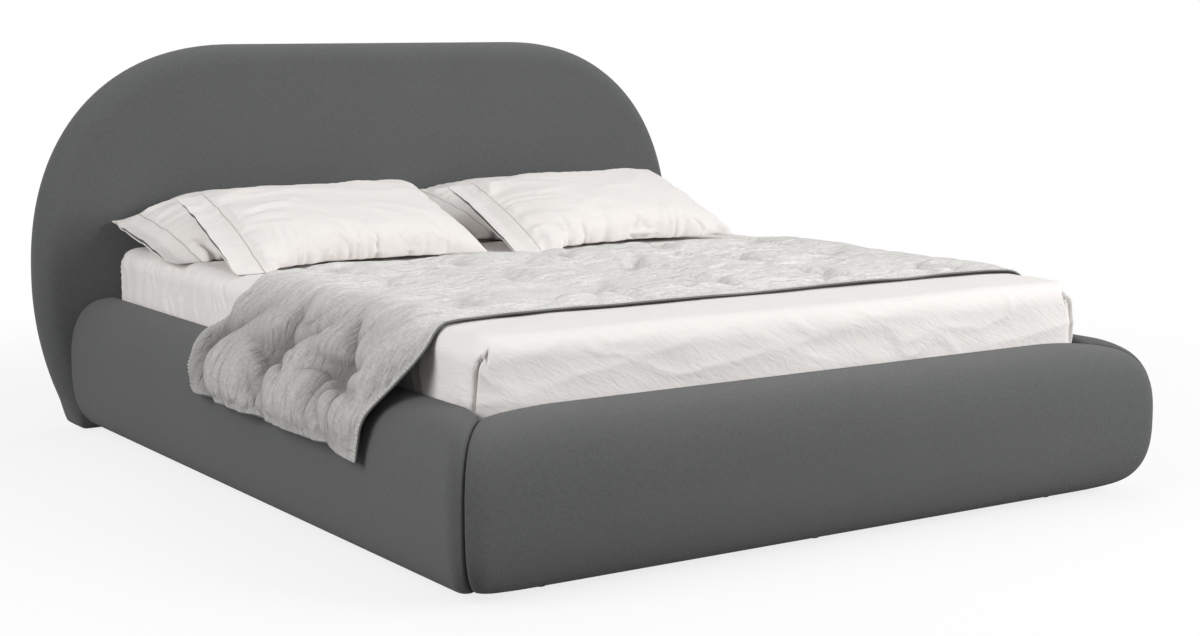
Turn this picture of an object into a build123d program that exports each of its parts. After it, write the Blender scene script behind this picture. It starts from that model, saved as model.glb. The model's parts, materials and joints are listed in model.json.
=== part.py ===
from build123d import *
import math
import os

# Upholstered bed, in millimetres. +Z up, +Y towards the headboard, +X right as seen from the foot.
# The origin is on the floor, under the middle of the bed.

# Driving dimensions
opening_width = 1680
opening_length = 2000
rail_height = 363
side_rail_thickness = 131
foot_rail_thickness = 148
headboard_width = 2104
headboard_height = 1060
headboard_thickness = 113
floor_gap = 8
mattress_top = 508
mattress_bottom = 270

# Clearances
rest_gap = 0.3
bedding_gap = 3
fit_clearance = 0.1
cut_overrun = 20

# Places that follow from the driving dimensions
half_opening = opening_width / 2
bed_length = headboard_thickness + opening_length + foot_rail_thickness
headboard_back = bed_length / 2
headboard_front = headboard_back - headboard_thickness
foot_inner = headboard_front - opening_length
foot_outer = foot_inner - foot_rail_thickness

# Upholstery
cover_thickness = 2
rail_squareness = 2.72
rail_arc_steps = 12
rail_inner_edge_radius = 9
rail_corner_radius = 62
rail_board_thickness = 22
rail_board_underlay = 3
rail_top_foam = 38

# Headboard
headboard_widest_height = 425
headboard_flat_top_width = 894
headboard_side_radius = 883
headboard_shoulder_squareness = 2.28
headboard_shoulder_steps = 6
headboard_edge_flat = 2
headboard_front_foam = 42
headboard_board_thickness = 22
headboard_board_inset = 44
upright_width = 90
upright_thickness = 28
upright_height = 690

# Corner brackets and their bolts
bracket_thickness = 5
bracket_leg = 80
bracket_height = 130
bracket_bottom = 64
bolt_offset = 46
bolt_spacing = 80
bolt_radius = 4
bolt_head_radius = 7
bolt_head_height = 4.5
bolt_socket_width = 5
insert_radius = 6
insert_wall_share = 0.62
tee_nut_flange_radius = 11
tee_nut_flange_thickness = 2

# Slat support
ledger_height = 40
ledger_thickness = 28
ledger_end_gap = 24
ledger_screw_count = 7
ledger_screw_margin = 90
screw_radius = 2.5
screw_head_radius = 5
screw_head_height = 2.6
ledger_screw_length = 46
beam_width = 40
beam_height = 60
beam_wall = 2
beam_corner_radius = 5
hanger_plate_width = 90
hanger_plate_height = 84
hanger_plate_thickness = 4
hanger_shelf_depth = 44
hanger_screw_spacing = 66
hanger_screw_rise = 20
hanger_screw_length = 22
leg_radius = 19
leg_wall = 2
leg_place_shares = (0.2, 0.5, 0.8)
leg_plate_length = 90
leg_plate_width = 36
leg_plate_thickness = 4
leg_screw_spacing = 66
leg_screw_length = 8
leg_foot_radius = 23
leg_foot_height = 24
leg_foot_base = 6

# Slats and their holders
slat_count = 14
slat_margin = 62
slat_width = 68
slat_thickness = 8
slat_crown = 3
slat_grip = 34
slat_play = 0.6
holder_roof = 3
holder_floor = 3
holder_wall = 4
holder_side_wall = 4

# Plastic glides nailed under the boards
glide_radius = 11.5
glide_edge_radius = 1.5
glide_pin_radius = 3
glide_pin_length = 24
side_glide_count = 4
foot_glide_count = 3
glide_margin = 130

# Mattress and its sheet
sheet_thickness = 1.5
ticking_thickness = 2
mattress_corner_radius = 62
mattress_top_radius = 48
mattress_bottom_radius = 26
sheet_tuck = 130

# Quilt
quilt_thickness = 12
quilt_head_edge = 214
quilt_length = 1016
quilt_edge_radius = 52
quilt_slope_angle = 53
quilt_fall_angle = 82
quilt_fall_radius = 60
quilt_hem_length = 10
quilt_overhang = 127
quilt_fold_depth = 15
quilt_fold_angle = 4
quilt_fold_count = 3
quilt_station_count = 17

# Pillows
pillow_height = 470
pillow_fill_inset = 3
front_pillow_width = 716
front_pillow_thickness = 150
front_pillow_tilt = 18.5
front_pillow_edge = 226
rear_pillow_width = 834
rear_pillow_thickness = 152
rear_pillow_tilt = 10
rear_pillow_wall_gap = 18
front_left_middle = -459
front_right_middle = 363
rear_pillow_middle = 434
# Along a pillow, from its hemmed end to its closed end
pillow_station_shares = (0.0, 0.07, 0.16, 0.3, 0.5, 0.7, 0.86, 0.95, 1.0)
pillow_crown_shares = (0.05, 0.14, 0.52, 0.86, 1.0, 0.88, 0.55, 0.24, 0.06)
pillow_height_shares = (1.0, 0.985, 0.96, 0.94, 0.93, 0.94, 0.96, 0.98, 1.0)

os.makedirs("parts", exist_ok=True)


def finish(piece, name):
    """Name a finished piece and write it to its own file."""
    piece.part.label = name
    export_step(piece.part, f"parts/{name}.step")


# Upholstered rails: a board towards the mattress, foam outside it and a fabric cover round both
def rail_section(plane, thickness, inset):
    """D-shaped section: flat towards the mattress, a squarish half oval outwards."""
    half_height = rail_height / 2 - inset
    middle = floor_gap + rail_height / 2
    reach = thickness - 2 * inset
    power = 2 / rail_squareness
    points = []
    for step in range(rail_arc_steps + 1):
        angle = math.pi / 2 - math.pi * step / rail_arc_steps
        out = reach * max(math.cos(angle), 0) ** power
        rise = half_height * math.copysign(abs(math.sin(angle)) ** power, math.sin(angle))
        points.append((inset + out, middle + rise))
    with BuildSketch(plane) as section:
        with BuildLine():
            bulge = Spline(*points, tangents=[(1, 0), (-1, 0)])
            Line(bulge @ 1, bulge @ 0)
        make_face()
    return section.sketch


def mitre(inset):
    """Plane of the foot corner's seam, facing into the right-hand rail."""
    across = Vector(foot_rail_thickness, side_rail_thickness, 0).normalized()
    start = Vector(half_opening, foot_inner, 0) + across * inset
    return Plane(origin=start, z_dir=across)


def foot_mitre(inset):
    """The same seam, facing into the foot rail."""
    across = Vector(-foot_rail_thickness, -side_rail_thickness, 0).normalized()
    start = Vector(half_opening, foot_inner, 0) + across * inset
    return Plane(origin=start, z_dir=across)


def footprint(inset):
    """Outline of the bed on the floor, with its two foot corners rounded."""
    half_width = half_opening + side_rail_thickness - inset
    with BuildSketch(Plane.XY) as plan:
        with BuildLine():
            Polyline(
                (-half_width, headboard_back),
                (-half_width, foot_outer + inset),
                (half_width, foot_outer + inset),
                (half_width, headboard_back),
                close=True,
            )
        make_face()
        foot_corners = plan.vertices().group_by(Axis.Y)[0]
        fillet(foot_corners, radius=rail_corner_radius - inset)
    return plan.sketch


def side_rail_body(inset):
    """Right-hand rail from the headboard's face to the seam."""
    head_end = Plane(origin=(half_opening, headboard_front - inset, 0), x_dir=(1, 0, 0), z_dir=(0, -1, 0))
    with BuildPart() as body:
        extrude(
            rail_section(head_end, side_rail_thickness, inset), amount=opening_length + foot_rail_thickness
        )
        inner_edges = body.edges().filter_by(Axis.Y)
        fillet(inner_edges, radius=rail_inner_edge_radius - inset)
        split(bisect_by=mitre(inset), keep=Keep.TOP)
        extrude(footprint(inset), amount=headboard_height, mode=Mode.INTERSECT)
    return body.part


def foot_rail_body(inset):
    """Foot rail between its two seams."""
    right_end = Plane(
        origin=(half_opening + side_rail_thickness, foot_inner, 0), x_dir=(0, -1, 0), z_dir=(-1, 0, 0)
    )
    with BuildPart() as body:
        extrude(
            rail_section(right_end, foot_rail_thickness, inset),
            amount=opening_width + 2 * side_rail_thickness,
        )
        inner_edges = body.edges().filter_by(Axis.X)
        fillet(inner_edges, radius=rail_inner_edge_radius - inset)
        right_seam = foot_mitre(inset)
        left_seam = Plane(
            origin=(-right_seam.origin.X, right_seam.origin.Y, 0),
            z_dir=(-right_seam.z_dir.X, right_seam.z_dir.Y, 0),
        )
        split(bisect_by=right_seam, keep=Keep.TOP)
        split(bisect_by=left_seam, keep=Keep.TOP)
        extrude(footprint(inset), amount=headboard_height, mode=Mode.INTERSECT)
    return body.part


board_bottom = floor_gap + cover_thickness + rail_board_underlay
board_top = floor_gap + rail_height - cover_thickness - rail_top_foam
board_height = board_top - board_bottom

# Places of the bolts: planes on the faces under their heads, facing away from the boards
bolt_heights = [
    bracket_bottom + bracket_height / 2 + side * bolt_spacing / 2 for side in (-1, 1)
]
side_bolt_seats = [
    Plane(origin=(half_opening - bracket_thickness, y, z), z_dir=(-1, 0, 0))
    for y in (foot_inner + bolt_offset, headboard_front - bolt_offset)
    for z in bolt_heights
]
left_bolt_seats = [
    Plane(origin=(-seat.origin.X, seat.origin.Y, seat.origin.Z), z_dir=(1, 0, 0))
    for seat in side_bolt_seats
]
foot_bolt_seats = [
    Plane(origin=(x, foot_inner + bracket_thickness, z), z_dir=(0, 1, 0))
    for x in (-half_opening + bolt_offset, half_opening - bolt_offset)
    for z in bolt_heights
]
headboard_bolt_seats = [
    Plane(origin=(x, headboard_front - bracket_thickness, z), z_dir=(0, -1, 0))
    for x in (-half_opening + bolt_offset, half_opening - bolt_offset)
    for z in bolt_heights
]

# Places of the smaller screws
slat_holder_top = mattress_bottom - rest_gap
slat_holder_height = holder_floor + slat_thickness + slat_play + holder_roof
ledger_top = slat_holder_top - slat_holder_height
ledger_length = opening_length - 2 * ledger_end_gap
ledger_screw_pitch = (ledger_length - 2 * ledger_screw_margin) / (ledger_screw_count - 1)
ledger_screw_seats = [
    Plane(
        origin=(
            half_opening - ledger_thickness,
            foot_inner + ledger_end_gap + ledger_screw_margin + ledger_screw_pitch * step,
            ledger_top - ledger_height / 2,
        ),
        z_dir=(-1, 0, 0),
    )
    for step in range(ledger_screw_count)
]
hanger_bottom = ledger_top - beam_height - hanger_plate_thickness
hanger_screw_height = hanger_bottom + hanger_plate_height - hanger_screw_rise
foot_hanger_screw_seats = [
    Plane(
        origin=(side * hanger_screw_spacing / 2, foot_inner + hanger_plate_thickness, hanger_screw_height),
        z_dir=(0, 1, 0),
    )
    for side in (-1, 1)
]
head_hanger_screw_seats = [
    Plane(
        origin=(
            side * hanger_screw_spacing / 2, headboard_front - hanger_plate_thickness, hanger_screw_height
        ),
        z_dir=(0, -1, 0),
    )
    for side in (-1, 1)
]

# Places of the glides' pins, on the floor
side_glide_x = half_opening + cover_thickness + rail_board_thickness / 2
side_glide_pitch = (opening_length - 2 * glide_margin) / (side_glide_count - 1)
side_glide_places = [
    (side_glide_x, foot_inner + glide_margin + side_glide_pitch * step) for step in range(side_glide_count)
]
foot_glide_y = foot_inner - cover_thickness - rail_board_thickness / 2
foot_glide_pitch = (opening_width - 2 * glide_margin) / (foot_glide_count - 1)
foot_glide_places = [
    (-half_opening + glide_margin + foot_glide_pitch * step, foot_glide_y) for step in range(foot_glide_count)
]
upright_middle = half_opening - bolt_offset
board_front = headboard_front + cover_thickness + headboard_front_foam
board_back = board_front + headboard_board_thickness
upright_back = board_back + upright_thickness
headboard_glide_places = [(side * upright_middle, board_back + upright_thickness / 2) for side in (-1, 1)]


def drill(seats, radius, depth):
    """Round holes going down from each seat."""
    for seat in seats:
        with BuildSketch(seat) as hole:
            Circle(radius)
        extrude(hole.sketch, amount=-depth, mode=Mode.SUBTRACT)


def drill_glides(places, radius):
    """Holes for the glides' pins, from the floor up."""
    with BuildSketch(Plane.XY) as holes:
        with Locations(*places):
            Circle(radius)
    extrude(holes.sketch, amount=floor_gap + glide_pin_length, mode=Mode.SUBTRACT)


bolt_hole_radius = bolt_radius + fit_clearance
insert_hole_radius = insert_radius + fit_clearance
screw_hole_radius = screw_radius + fit_clearance
glide_hole_radius = glide_pin_radius + fit_clearance
rail_bolt_reach = bracket_thickness + cover_thickness + rail_board_thickness

with BuildPart() as rail_board_right:
    with BuildSketch(Plane.XY.offset(board_bottom)):
        with Locations((half_opening + cover_thickness, (headboard_front + foot_outer) / 2)):
            Rectangle(
                rail_board_thickness,
                headboard_front - foot_outer,
                align=(Align.MIN, Align.CENTER),
            )
    extrude(amount=board_height)
    add(side_rail_body(cover_thickness), mode=Mode.INTERSECT)
solid_board_right = rail_board_right.part
with rail_board_right:
    drill(side_bolt_seats, insert_hole_radius, rail_bolt_reach)
    drill(ledger_screw_seats, screw_hole_radius, ledger_screw_length)
    drill_glides(side_glide_places, glide_hole_radius)

with BuildPart() as rail_foam_right:
    add(side_rail_body(cover_thickness))
    add(solid_board_right, mode=Mode.SUBTRACT)
    drill_glides(side_glide_places, glide_hole_radius)

with BuildPart() as rail_cover_right:
    add(side_rail_body(0))
    add(side_rail_body(cover_thickness), mode=Mode.SUBTRACT)
    drill(side_bolt_seats, bolt_hole_radius, bracket_thickness + cover_thickness)
    drill(ledger_screw_seats, screw_hole_radius, ledger_thickness + cover_thickness)
    drill_glides(side_glide_places, glide_hole_radius)

for piece, name in (
    (rail_board_right, "rail_board"),
    (rail_foam_right, "rail_foam"),
    (rail_cover_right, "rail_cover"),
):
    finish(piece, name + "_right")
    with BuildPart() as left_piece:
        mirror(piece.part, about=Plane.YZ)
    finish(left_piece, name + "_left")

with BuildPart() as foot_board:
    with BuildSketch(Plane.XY.offset(board_bottom)):
        with Locations((0, foot_inner - cover_thickness)):
            Rectangle(
                opening_width + 2 * side_rail_thickness,
                rail_board_thickness,
                align=(Align.CENTER, Align.MAX),
            )
    extrude(amount=board_height)
    add(foot_rail_body(cover_thickness), mode=Mode.INTERSECT)
solid_foot_board = foot_board.part
with foot_board:
    drill(foot_bolt_seats, insert_hole_radius, rail_bolt_reach)
    drill(foot_hanger_screw_seats, screw_hole_radius, hanger_screw_length)
    drill_glides(foot_glide_places, glide_hole_radius)
finish(foot_board, "foot_board")

with BuildPart() as foot_foam:
    add(foot_rail_body(cover_thickness))
    add(solid_foot_board, mode=Mode.SUBTRACT)
    drill_glides(foot_glide_places, glide_hole_radius)
finish(foot_foam, "foot_foam")

with BuildPart() as foot_cover:
    add(foot_rail_body(0))
    add(foot_rail_body(cover_thickness), mode=Mode.SUBTRACT)
    drill(foot_bolt_seats, bolt_hole_radius, bracket_thickness + cover_thickness)
    drill(foot_hanger_screw_seats, screw_hole_radius, hanger_plate_thickness + cover_thickness)
    drill_glides(foot_glide_places, glide_hole_radius)
finish(foot_cover, "foot_cover")


# Headboard: a shaped board with two uprights behind it, foam on both faces and a fabric cover
def headboard_face(depth, inset):
    """Headboard outline on the plane that lies a depth behind its front; the foot runs below the floor."""
    plane = Plane(origin=(0, headboard_front + depth, 0), x_dir=(1, 0, 0), z_dir=(0, -1, 0))
    half_flat = headboard_flat_top_width / 2
    half_width = headboard_width / 2 - inset
    top = headboard_height - inset
    power = 2 / headboard_shoulder_squareness
    side_radius = headboard_side_radius - inset
    side_centre = half_width - side_radius
    foot_drop = headboard_widest_height + cut_overrun
    side_angle = math.degrees(math.asin(foot_drop / side_radius))
    shoulder = []
    for step in range(headboard_shoulder_steps + 1):
        angle = math.pi / 2 * step / headboard_shoulder_steps
        out = (half_width - half_flat) * max(math.cos(angle), 0) ** power
        rise = (top - headboard_widest_height) * math.sin(angle) ** power
        shoulder.append((half_flat + out, headboard_widest_height + rise))
    with BuildSketch(plane) as face:
        with BuildLine():
            side = CenterArc((side_centre, headboard_widest_height), side_radius, -side_angle, side_angle)
            bow = Spline(*shoulder, tangents=[(0, 1), (-1, 0)])
            Line(bow @ 1, (0, top))
            Line(side @ 0, (0, headboard_widest_height - foot_drop))
            mirror(about=Plane.YZ)
        make_face()
    return face.sketch


def headboard_body(inset):
    """Headboard with rounded edges at its sides and top, standing on its flat foot."""
    thickness = headboard_thickness - 2 * inset
    with BuildPart() as body:
        extrude(headboard_face(inset, inset), amount=-thickness)
        rim = body.faces().filter_by(Axis.Y).edges()
        rim = rim.filter_by(lambda edge: edge.center().Z > 0)
        fillet(rim, radius=(thickness - headboard_edge_flat) / 2)
        split(bisect_by=Plane.XY.offset(floor_gap + inset), keep=Keep.TOP)
    return body.part


headboard_shell = headboard_body(0)
headboard_core = headboard_body(cover_thickness)
long_bolt_reach = upright_back - headboard_front + bracket_thickness

with BuildPart() as headboard_board:
    board_face = headboard_face(board_front - headboard_front, headboard_board_inset)
    extrude(board_face, amount=-headboard_board_thickness)
    split(bisect_by=Plane.XY.offset(board_bottom), keep=Keep.TOP)
solid_headboard_board = headboard_board.part
with headboard_board:
    drill(headboard_bolt_seats, bolt_hole_radius, long_bolt_reach)
    drill(head_hanger_screw_seats, screw_hole_radius, hanger_screw_length + headboard_front_foam)
finish(headboard_board, "headboard_board")

with BuildPart() as upright_right:
    with BuildSketch(Plane.XY.offset(board_bottom)):
        with Locations((upright_middle, board_back)):
            Rectangle(upright_width, upright_thickness, align=(Align.CENTER, Align.MIN))
    extrude(amount=upright_height)
solid_upright_right = upright_right.part
with upright_right:
    drill(headboard_bolt_seats[2:], insert_hole_radius, long_bolt_reach)
    drill_glides(headboard_glide_places[1:], glide_hole_radius)
finish(upright_right, "headboard_upright_right")
with BuildPart() as upright_left:
    mirror(upright_right.part, about=Plane.YZ)
finish(upright_left, "headboard_upright_left")

front_of_board = Plane(origin=(0, board_front, 0), z_dir=(0, -1, 0))
with BuildPart() as headboard_foam_front:
    add(headboard_core)
    split(bisect_by=front_of_board, keep=Keep.TOP)
    drill(headboard_bolt_seats, bolt_hole_radius, long_bolt_reach)
    drill(head_hanger_screw_seats, screw_hole_radius, hanger_screw_length + headboard_front_foam)
finish(headboard_foam_front, "headboard_foam_front")

tee_nut_seats = [
    Plane(origin=(seat.origin.X, upright_back, seat.origin.Z), z_dir=(0, 1, 0))
    for seat in headboard_bolt_seats
]
with BuildPart() as headboard_foam_back:
    add(headboard_core)
    split(bisect_by=front_of_board, keep=Keep.BOTTOM)
    add(solid_headboard_board, mode=Mode.SUBTRACT)
    add(solid_upright_right, mode=Mode.SUBTRACT)
    mirror(solid_upright_right, about=Plane.YZ, mode=Mode.SUBTRACT)
    for seat in tee_nut_seats:
        with BuildSketch(seat):
            Circle(tee_nut_flange_radius + fit_clearance)
        extrude(amount=tee_nut_flange_thickness + fit_clearance, mode=Mode.SUBTRACT)
    drill_glides(headboard_glide_places, glide_hole_radius)
finish(headboard_foam_back, "headboard_foam_back")

with BuildPart() as headboard_cover:
    add(headboard_shell)
    add(headboard_core, mode=Mode.SUBTRACT)
    drill(headboard_bolt_seats, bolt_hole_radius, bracket_thickness + cover_thickness)
    drill(head_hanger_screw_seats, screw_hole_radius, hanger_plate_thickness + cover_thickness)
    drill_glides(headboard_glide_places, glide_hole_radius)
finish(headboard_cover, "headboard_cover")


# Corner brackets and fasteners
def fasteners(seats, head_radius, head_height, shank_radius, shank_length, socket_width):
    """A screw at every seat: a head above it and a shank below it."""
    with BuildPart() as screws:
        for seat in seats:
            with BuildSketch(seat):
                Circle(head_radius)
            extrude(amount=head_height)
            with BuildSketch(seat):
                Circle(shank_radius)
            extrude(amount=-shank_length)
            with BuildSketch(seat.offset(head_height)):
                RegularPolygon(radius=socket_width / 2, side_count=6)
            extrude(amount=-head_height / 2, mode=Mode.SUBTRACT)
    return screws


with BuildPart() as corner_brackets:
    for side in (-1, 1):
        for end, inward in ((foot_inner, 1), (headboard_front, -1)):
            with BuildSketch(Plane.XY.offset(bracket_bottom)):
                with BuildLine():
                    Polyline(
                        (side * half_opening, end),
                        (side * (half_opening - bracket_leg), end),
                        (side * (half_opening - bracket_leg), end + inward * bracket_thickness),
                        (side * (half_opening - bracket_thickness), end + inward * bracket_thickness),
                        (side * (half_opening - bracket_thickness), end + inward * bracket_leg),
                        (side * half_opening, end + inward * bracket_leg),
                        close=True,
                    )
                make_face()
            extrude(amount=bracket_height)
    drill(side_bolt_seats, bolt_hole_radius, bracket_thickness)
    drill(left_bolt_seats, bolt_hole_radius, bracket_thickness)
    drill(foot_bolt_seats, bolt_hole_radius, bracket_thickness)
    drill(headboard_bolt_seats, bolt_hole_radius, bracket_thickness)
finish(corner_brackets, "corner_brackets")

rail_bolt_seats = side_bolt_seats + left_bolt_seats + foot_bolt_seats
rail_bolts = fasteners(
    rail_bolt_seats, bolt_head_radius, bolt_head_height, bolt_radius, rail_bolt_reach, bolt_socket_width
)
finish(rail_bolts, "rail_bolts")

with BuildPart() as threaded_inserts:
    for seat in rail_bolt_seats:
        with BuildSketch(seat.offset(-bracket_thickness - cover_thickness)):
            Circle(insert_radius)
            Circle(bolt_hole_radius, mode=Mode.SUBTRACT)
        extrude(amount=-rail_board_thickness)
finish(threaded_inserts, "threaded_inserts")

headboard_bolts = fasteners(
    headboard_bolt_seats, bolt_head_radius, bolt_head_height, bolt_radius, long_bolt_reach, bolt_socket_width
)
finish(headboard_bolts, "headboard_bolts")

with BuildPart() as tee_nuts:
    for seat in tee_nut_seats:
        with BuildSketch(seat):
            Circle(tee_nut_flange_radius)
        extrude(amount=tee_nut_flange_thickness)
        with BuildSketch(seat):
            Circle(insert_radius)
        extrude(amount=-upright_thickness * insert_wall_share)
        with BuildSketch(seat):
            Circle(bolt_hole_radius)
        extrude(amount=-upright_thickness, mode=Mode.SUBTRACT)
finish(tee_nuts, "tee_nuts")

# Slat support: a ledger on each side rail and a beam on legs down the middle
with BuildPart() as slat_ledger_right:
    with BuildSketch(Plane.XY.offset(ledger_top - ledger_height)):
        with Locations((half_opening, foot_inner + opening_length / 2)):
            Rectangle(ledger_thickness, ledger_length, align=(Align.MAX, Align.CENTER))
    extrude(amount=ledger_height)
    drill(ledger_screw_seats, screw_hole_radius, ledger_thickness)
finish(slat_ledger_right, "slat_ledger_right")
with BuildPart() as slat_ledger_left:
    mirror(slat_ledger_right.part, about=Plane.YZ)
finish(slat_ledger_left, "slat_ledger_left")

right_ledger_screws = fasteners(
    ledger_screw_seats,
    screw_head_radius,
    screw_head_height,
    screw_radius,
    ledger_screw_length,
    screw_head_radius,
)
with BuildPart() as ledger_screws:
    add(right_ledger_screws.part)
    mirror(right_ledger_screws.part, about=Plane.YZ)
finish(ledger_screws, "ledger_screws")

beam_length = opening_length - 2 * hanger_plate_thickness - 2 * rest_gap
beam_bottom = ledger_top - beam_height
beam_start = Plane(
    origin=(0, foot_inner + hanger_plate_thickness + rest_gap, ledger_top - beam_height / 2),
    x_dir=(1, 0, 0),
    z_dir=(0, 1, 0),
)
with BuildPart() as centre_beam:
    with BuildSketch(beam_start):
        RectangleRounded(beam_width, beam_height, beam_corner_radius)
        RectangleRounded(
            beam_width - 2 * beam_wall,
            beam_height - 2 * beam_wall,
            beam_corner_radius - beam_wall,
            mode=Mode.SUBTRACT,
        )
    extrude(amount=beam_length)
leg_places = [(0, foot_inner + opening_length * share) for share in leg_place_shares]
leg_screw_places = [(0, y + side * leg_screw_spacing / 2) for x, y in leg_places for side in (-1, 1)]
leg_screw_seats = [
    Plane(origin=(x, y, beam_bottom - leg_plate_thickness), z_dir=(0, 0, -1)) for x, y in leg_screw_places
]
with centre_beam:
    drill(leg_screw_seats, screw_hole_radius, leg_plate_thickness + beam_wall)
finish(centre_beam, "centre_beam")

with BuildPart() as beam_hangers:
    for end, inward in ((foot_inner, 1), (headboard_front, -1)):
        with BuildSketch(Plane.XY.offset(hanger_bottom)):
            with Locations((0, end + inward * hanger_plate_thickness / 2)):
                Rectangle(hanger_plate_width, hanger_plate_thickness)
        extrude(amount=hanger_plate_height)
        with BuildSketch(Plane.XY.offset(hanger_bottom)):
            with Locations((0, end + inward * hanger_shelf_depth / 2)):
                Rectangle(beam_width, hanger_shelf_depth)
        extrude(amount=hanger_plate_thickness)
    drill(foot_hanger_screw_seats, screw_hole_radius, hanger_plate_thickness)
    drill(head_hanger_screw_seats, screw_hole_radius, hanger_plate_thickness)
finish(beam_hangers, "beam_hangers")

foot_hanger_screws = fasteners(
    foot_hanger_screw_seats,
    screw_head_radius,
    screw_head_height,
    screw_radius,
    hanger_screw_length,
    screw_head_radius,
)
head_hanger_screws = fasteners(
    head_hanger_screw_seats,
    screw_head_radius,
    screw_head_height,
    screw_radius,
    hanger_screw_length + headboard_front_foam,
    screw_head_radius,
)
with BuildPart() as hanger_screws:
    add(foot_hanger_screws.part)
    add(head_hanger_screws.part)
finish(hanger_screws, "hanger_screws")

leg_length = beam_bottom - leg_plate_thickness - leg_foot_base
with BuildPart() as centre_legs:
    with BuildSketch(Plane.XY.offset(leg_foot_base)):
        with Locations(*leg_places):
            Circle(leg_radius)
            Circle(leg_radius - leg_wall, mode=Mode.SUBTRACT)
    extrude(amount=leg_length)
    with BuildSketch(Plane.XY.offset(leg_foot_base + leg_length)):
        with Locations(*leg_places):
            Rectangle(leg_plate_width, leg_plate_length)
    extrude(amount=leg_plate_thickness)
    drill(leg_screw_seats, screw_hole_radius, leg_plate_thickness)
finish(centre_legs, "centre_legs")

leg_screws = fasteners(
    leg_screw_seats, screw_head_radius, screw_head_height, screw_radius, leg_screw_length, screw_head_radius
)
finish(leg_screws, "leg_screws")

with BuildPart() as leg_feet:
    with BuildSketch(Plane.XY):
        with Locations(*leg_places):
            Circle(leg_foot_radius)
    extrude(amount=leg_foot_height)
    with BuildSketch(Plane.XY.offset(leg_foot_base)):
        with Locations(*leg_places):
            Circle(leg_radius + fit_clearance)
    extrude(amount=leg_foot_height, mode=Mode.SUBTRACT)
finish(leg_feet, "leg_feet")

# Sprung slats in two rows, their ends held in plastic holders
slat_pitch = (opening_length - 2 * slat_margin) / (slat_count - 1)
slat_places = [foot_inner + slat_margin + slat_pitch * step for step in range(slat_count)]
holder_width = slat_width + 2 * slat_play + 2 * holder_side_wall
side_holder_length = slat_grip + holder_wall
centre_holder_length = 2 * slat_grip + holder_wall
slat_bottom = ledger_top + holder_floor + slat_play / 2
slat_outer_end = half_opening - holder_wall - slat_play
slat_inner_end = holder_wall / 2 + slat_play
slat_middle = (slat_outer_end + slat_inner_end) / 2


def slat_row(side):
    """One row of bowed slats, on the side given by its sign."""
    ends = (side * slat_inner_end, side * slat_outer_end)
    with BuildPart() as row:
        for place in slat_places:
            near_face = Plane(origin=(0, place - slat_width / 2, 0), x_dir=(1, 0, 0), z_dir=(0, -1, 0))
            with BuildSketch(near_face):
                with BuildLine():
                    under = ThreePointArc(
                        (ends[0], slat_bottom),
                        (side * slat_middle, slat_bottom + slat_crown),
                        (ends[1], slat_bottom),
                    )
                    over = ThreePointArc(
                        (ends[0], slat_bottom + slat_thickness),
                        (side * slat_middle, slat_bottom + slat_thickness + slat_crown),
                        (ends[1], slat_bottom + slat_thickness),
                    )
                    Line(under @ 0, over @ 0)
                    Line(under @ 1, over @ 1)
                make_face()
            extrude(amount=-slat_width)
    return row


def holder_blocks(near_end, length, pockets):
    """Plastic holders in a row; each pocket is given by its two ends across the bed."""
    with BuildPart() as holders:
        for place in slat_places:
            with BuildSketch(Plane.XY.offset(ledger_top)):
                with Locations((near_end, place)):
                    Rectangle(length, holder_width, align=(Align.MIN, Align.CENTER))
            extrude(amount=slat_holder_height)
            with BuildSketch(Plane.XY.offset(ledger_top + holder_floor)):
                for start, end in pockets:
                    with Locations(((start + end) / 2, place)):
                        Rectangle(abs(end - start), slat_width + 2 * slat_play)
            extrude(amount=slat_thickness + slat_play + slat_crown, mode=Mode.SUBTRACT)
    return holders


finish(slat_row(-1), "slats_left")
finish(slat_row(1), "slats_right")
side_pocket_end = half_opening - holder_wall
side_holders_right = holder_blocks(
    half_opening - side_holder_length,
    side_holder_length,
    [(half_opening - side_holder_length - cut_overrun, side_pocket_end)],
)
finish(side_holders_right, "slat_holders_right")
with BuildPart() as side_holders_left:
    mirror(side_holders_right.part, about=Plane.YZ)
finish(side_holders_left, "slat_holders_left")
centre_holders = holder_blocks(
    -centre_holder_length / 2,
    centre_holder_length,
    [
        (side * holder_wall / 2, side * (centre_holder_length / 2 + cut_overrun))
        for side in (-1, 1)
    ],
)
finish(centre_holders, "slat_holders_centre")

# Glides under the boards
glide_places = [(-x, y) for x, y in side_glide_places] + side_glide_places
glide_places += foot_glide_places + headboard_glide_places
with BuildPart() as floor_glides:
    with BuildSketch(Plane.XY):
        with Locations(*glide_places):
            Circle(glide_radius)
    extrude(amount=floor_gap)
    fillet(floor_glides.edges().group_by(Axis.Z)[0], radius=glide_edge_radius)
    with BuildSketch(Plane.XY):
        with Locations(*glide_places):
            Circle(glide_pin_radius)
    extrude(amount=floor_gap + glide_pin_length)
finish(floor_glides, "floor_glides")


# Mattress: a core in its ticking, under a fitted sheet
def mattress_body(inset):
    """Mattress block with rounded corners and edges, inset from the outside of the sheet."""
    width = opening_width - 2 * bedding_gap - 2 * inset
    length = opening_length - 2 * bedding_gap - 2 * inset
    with BuildPart() as body:
        with BuildSketch(Plane.XY.offset(mattress_bottom + inset)):
            with Locations((0, foot_inner + opening_length / 2)):
                RectangleRounded(width, length, mattress_corner_radius - inset)
        extrude(amount=mattress_top - mattress_bottom - 2 * inset)
        fillet(body.edges().group_by(Axis.Z)[-1], radius=mattress_top_radius - inset)
        fillet(body.edges().group_by(Axis.Z)[0], radius=mattress_bottom_radius - inset)
    return body.part


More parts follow.
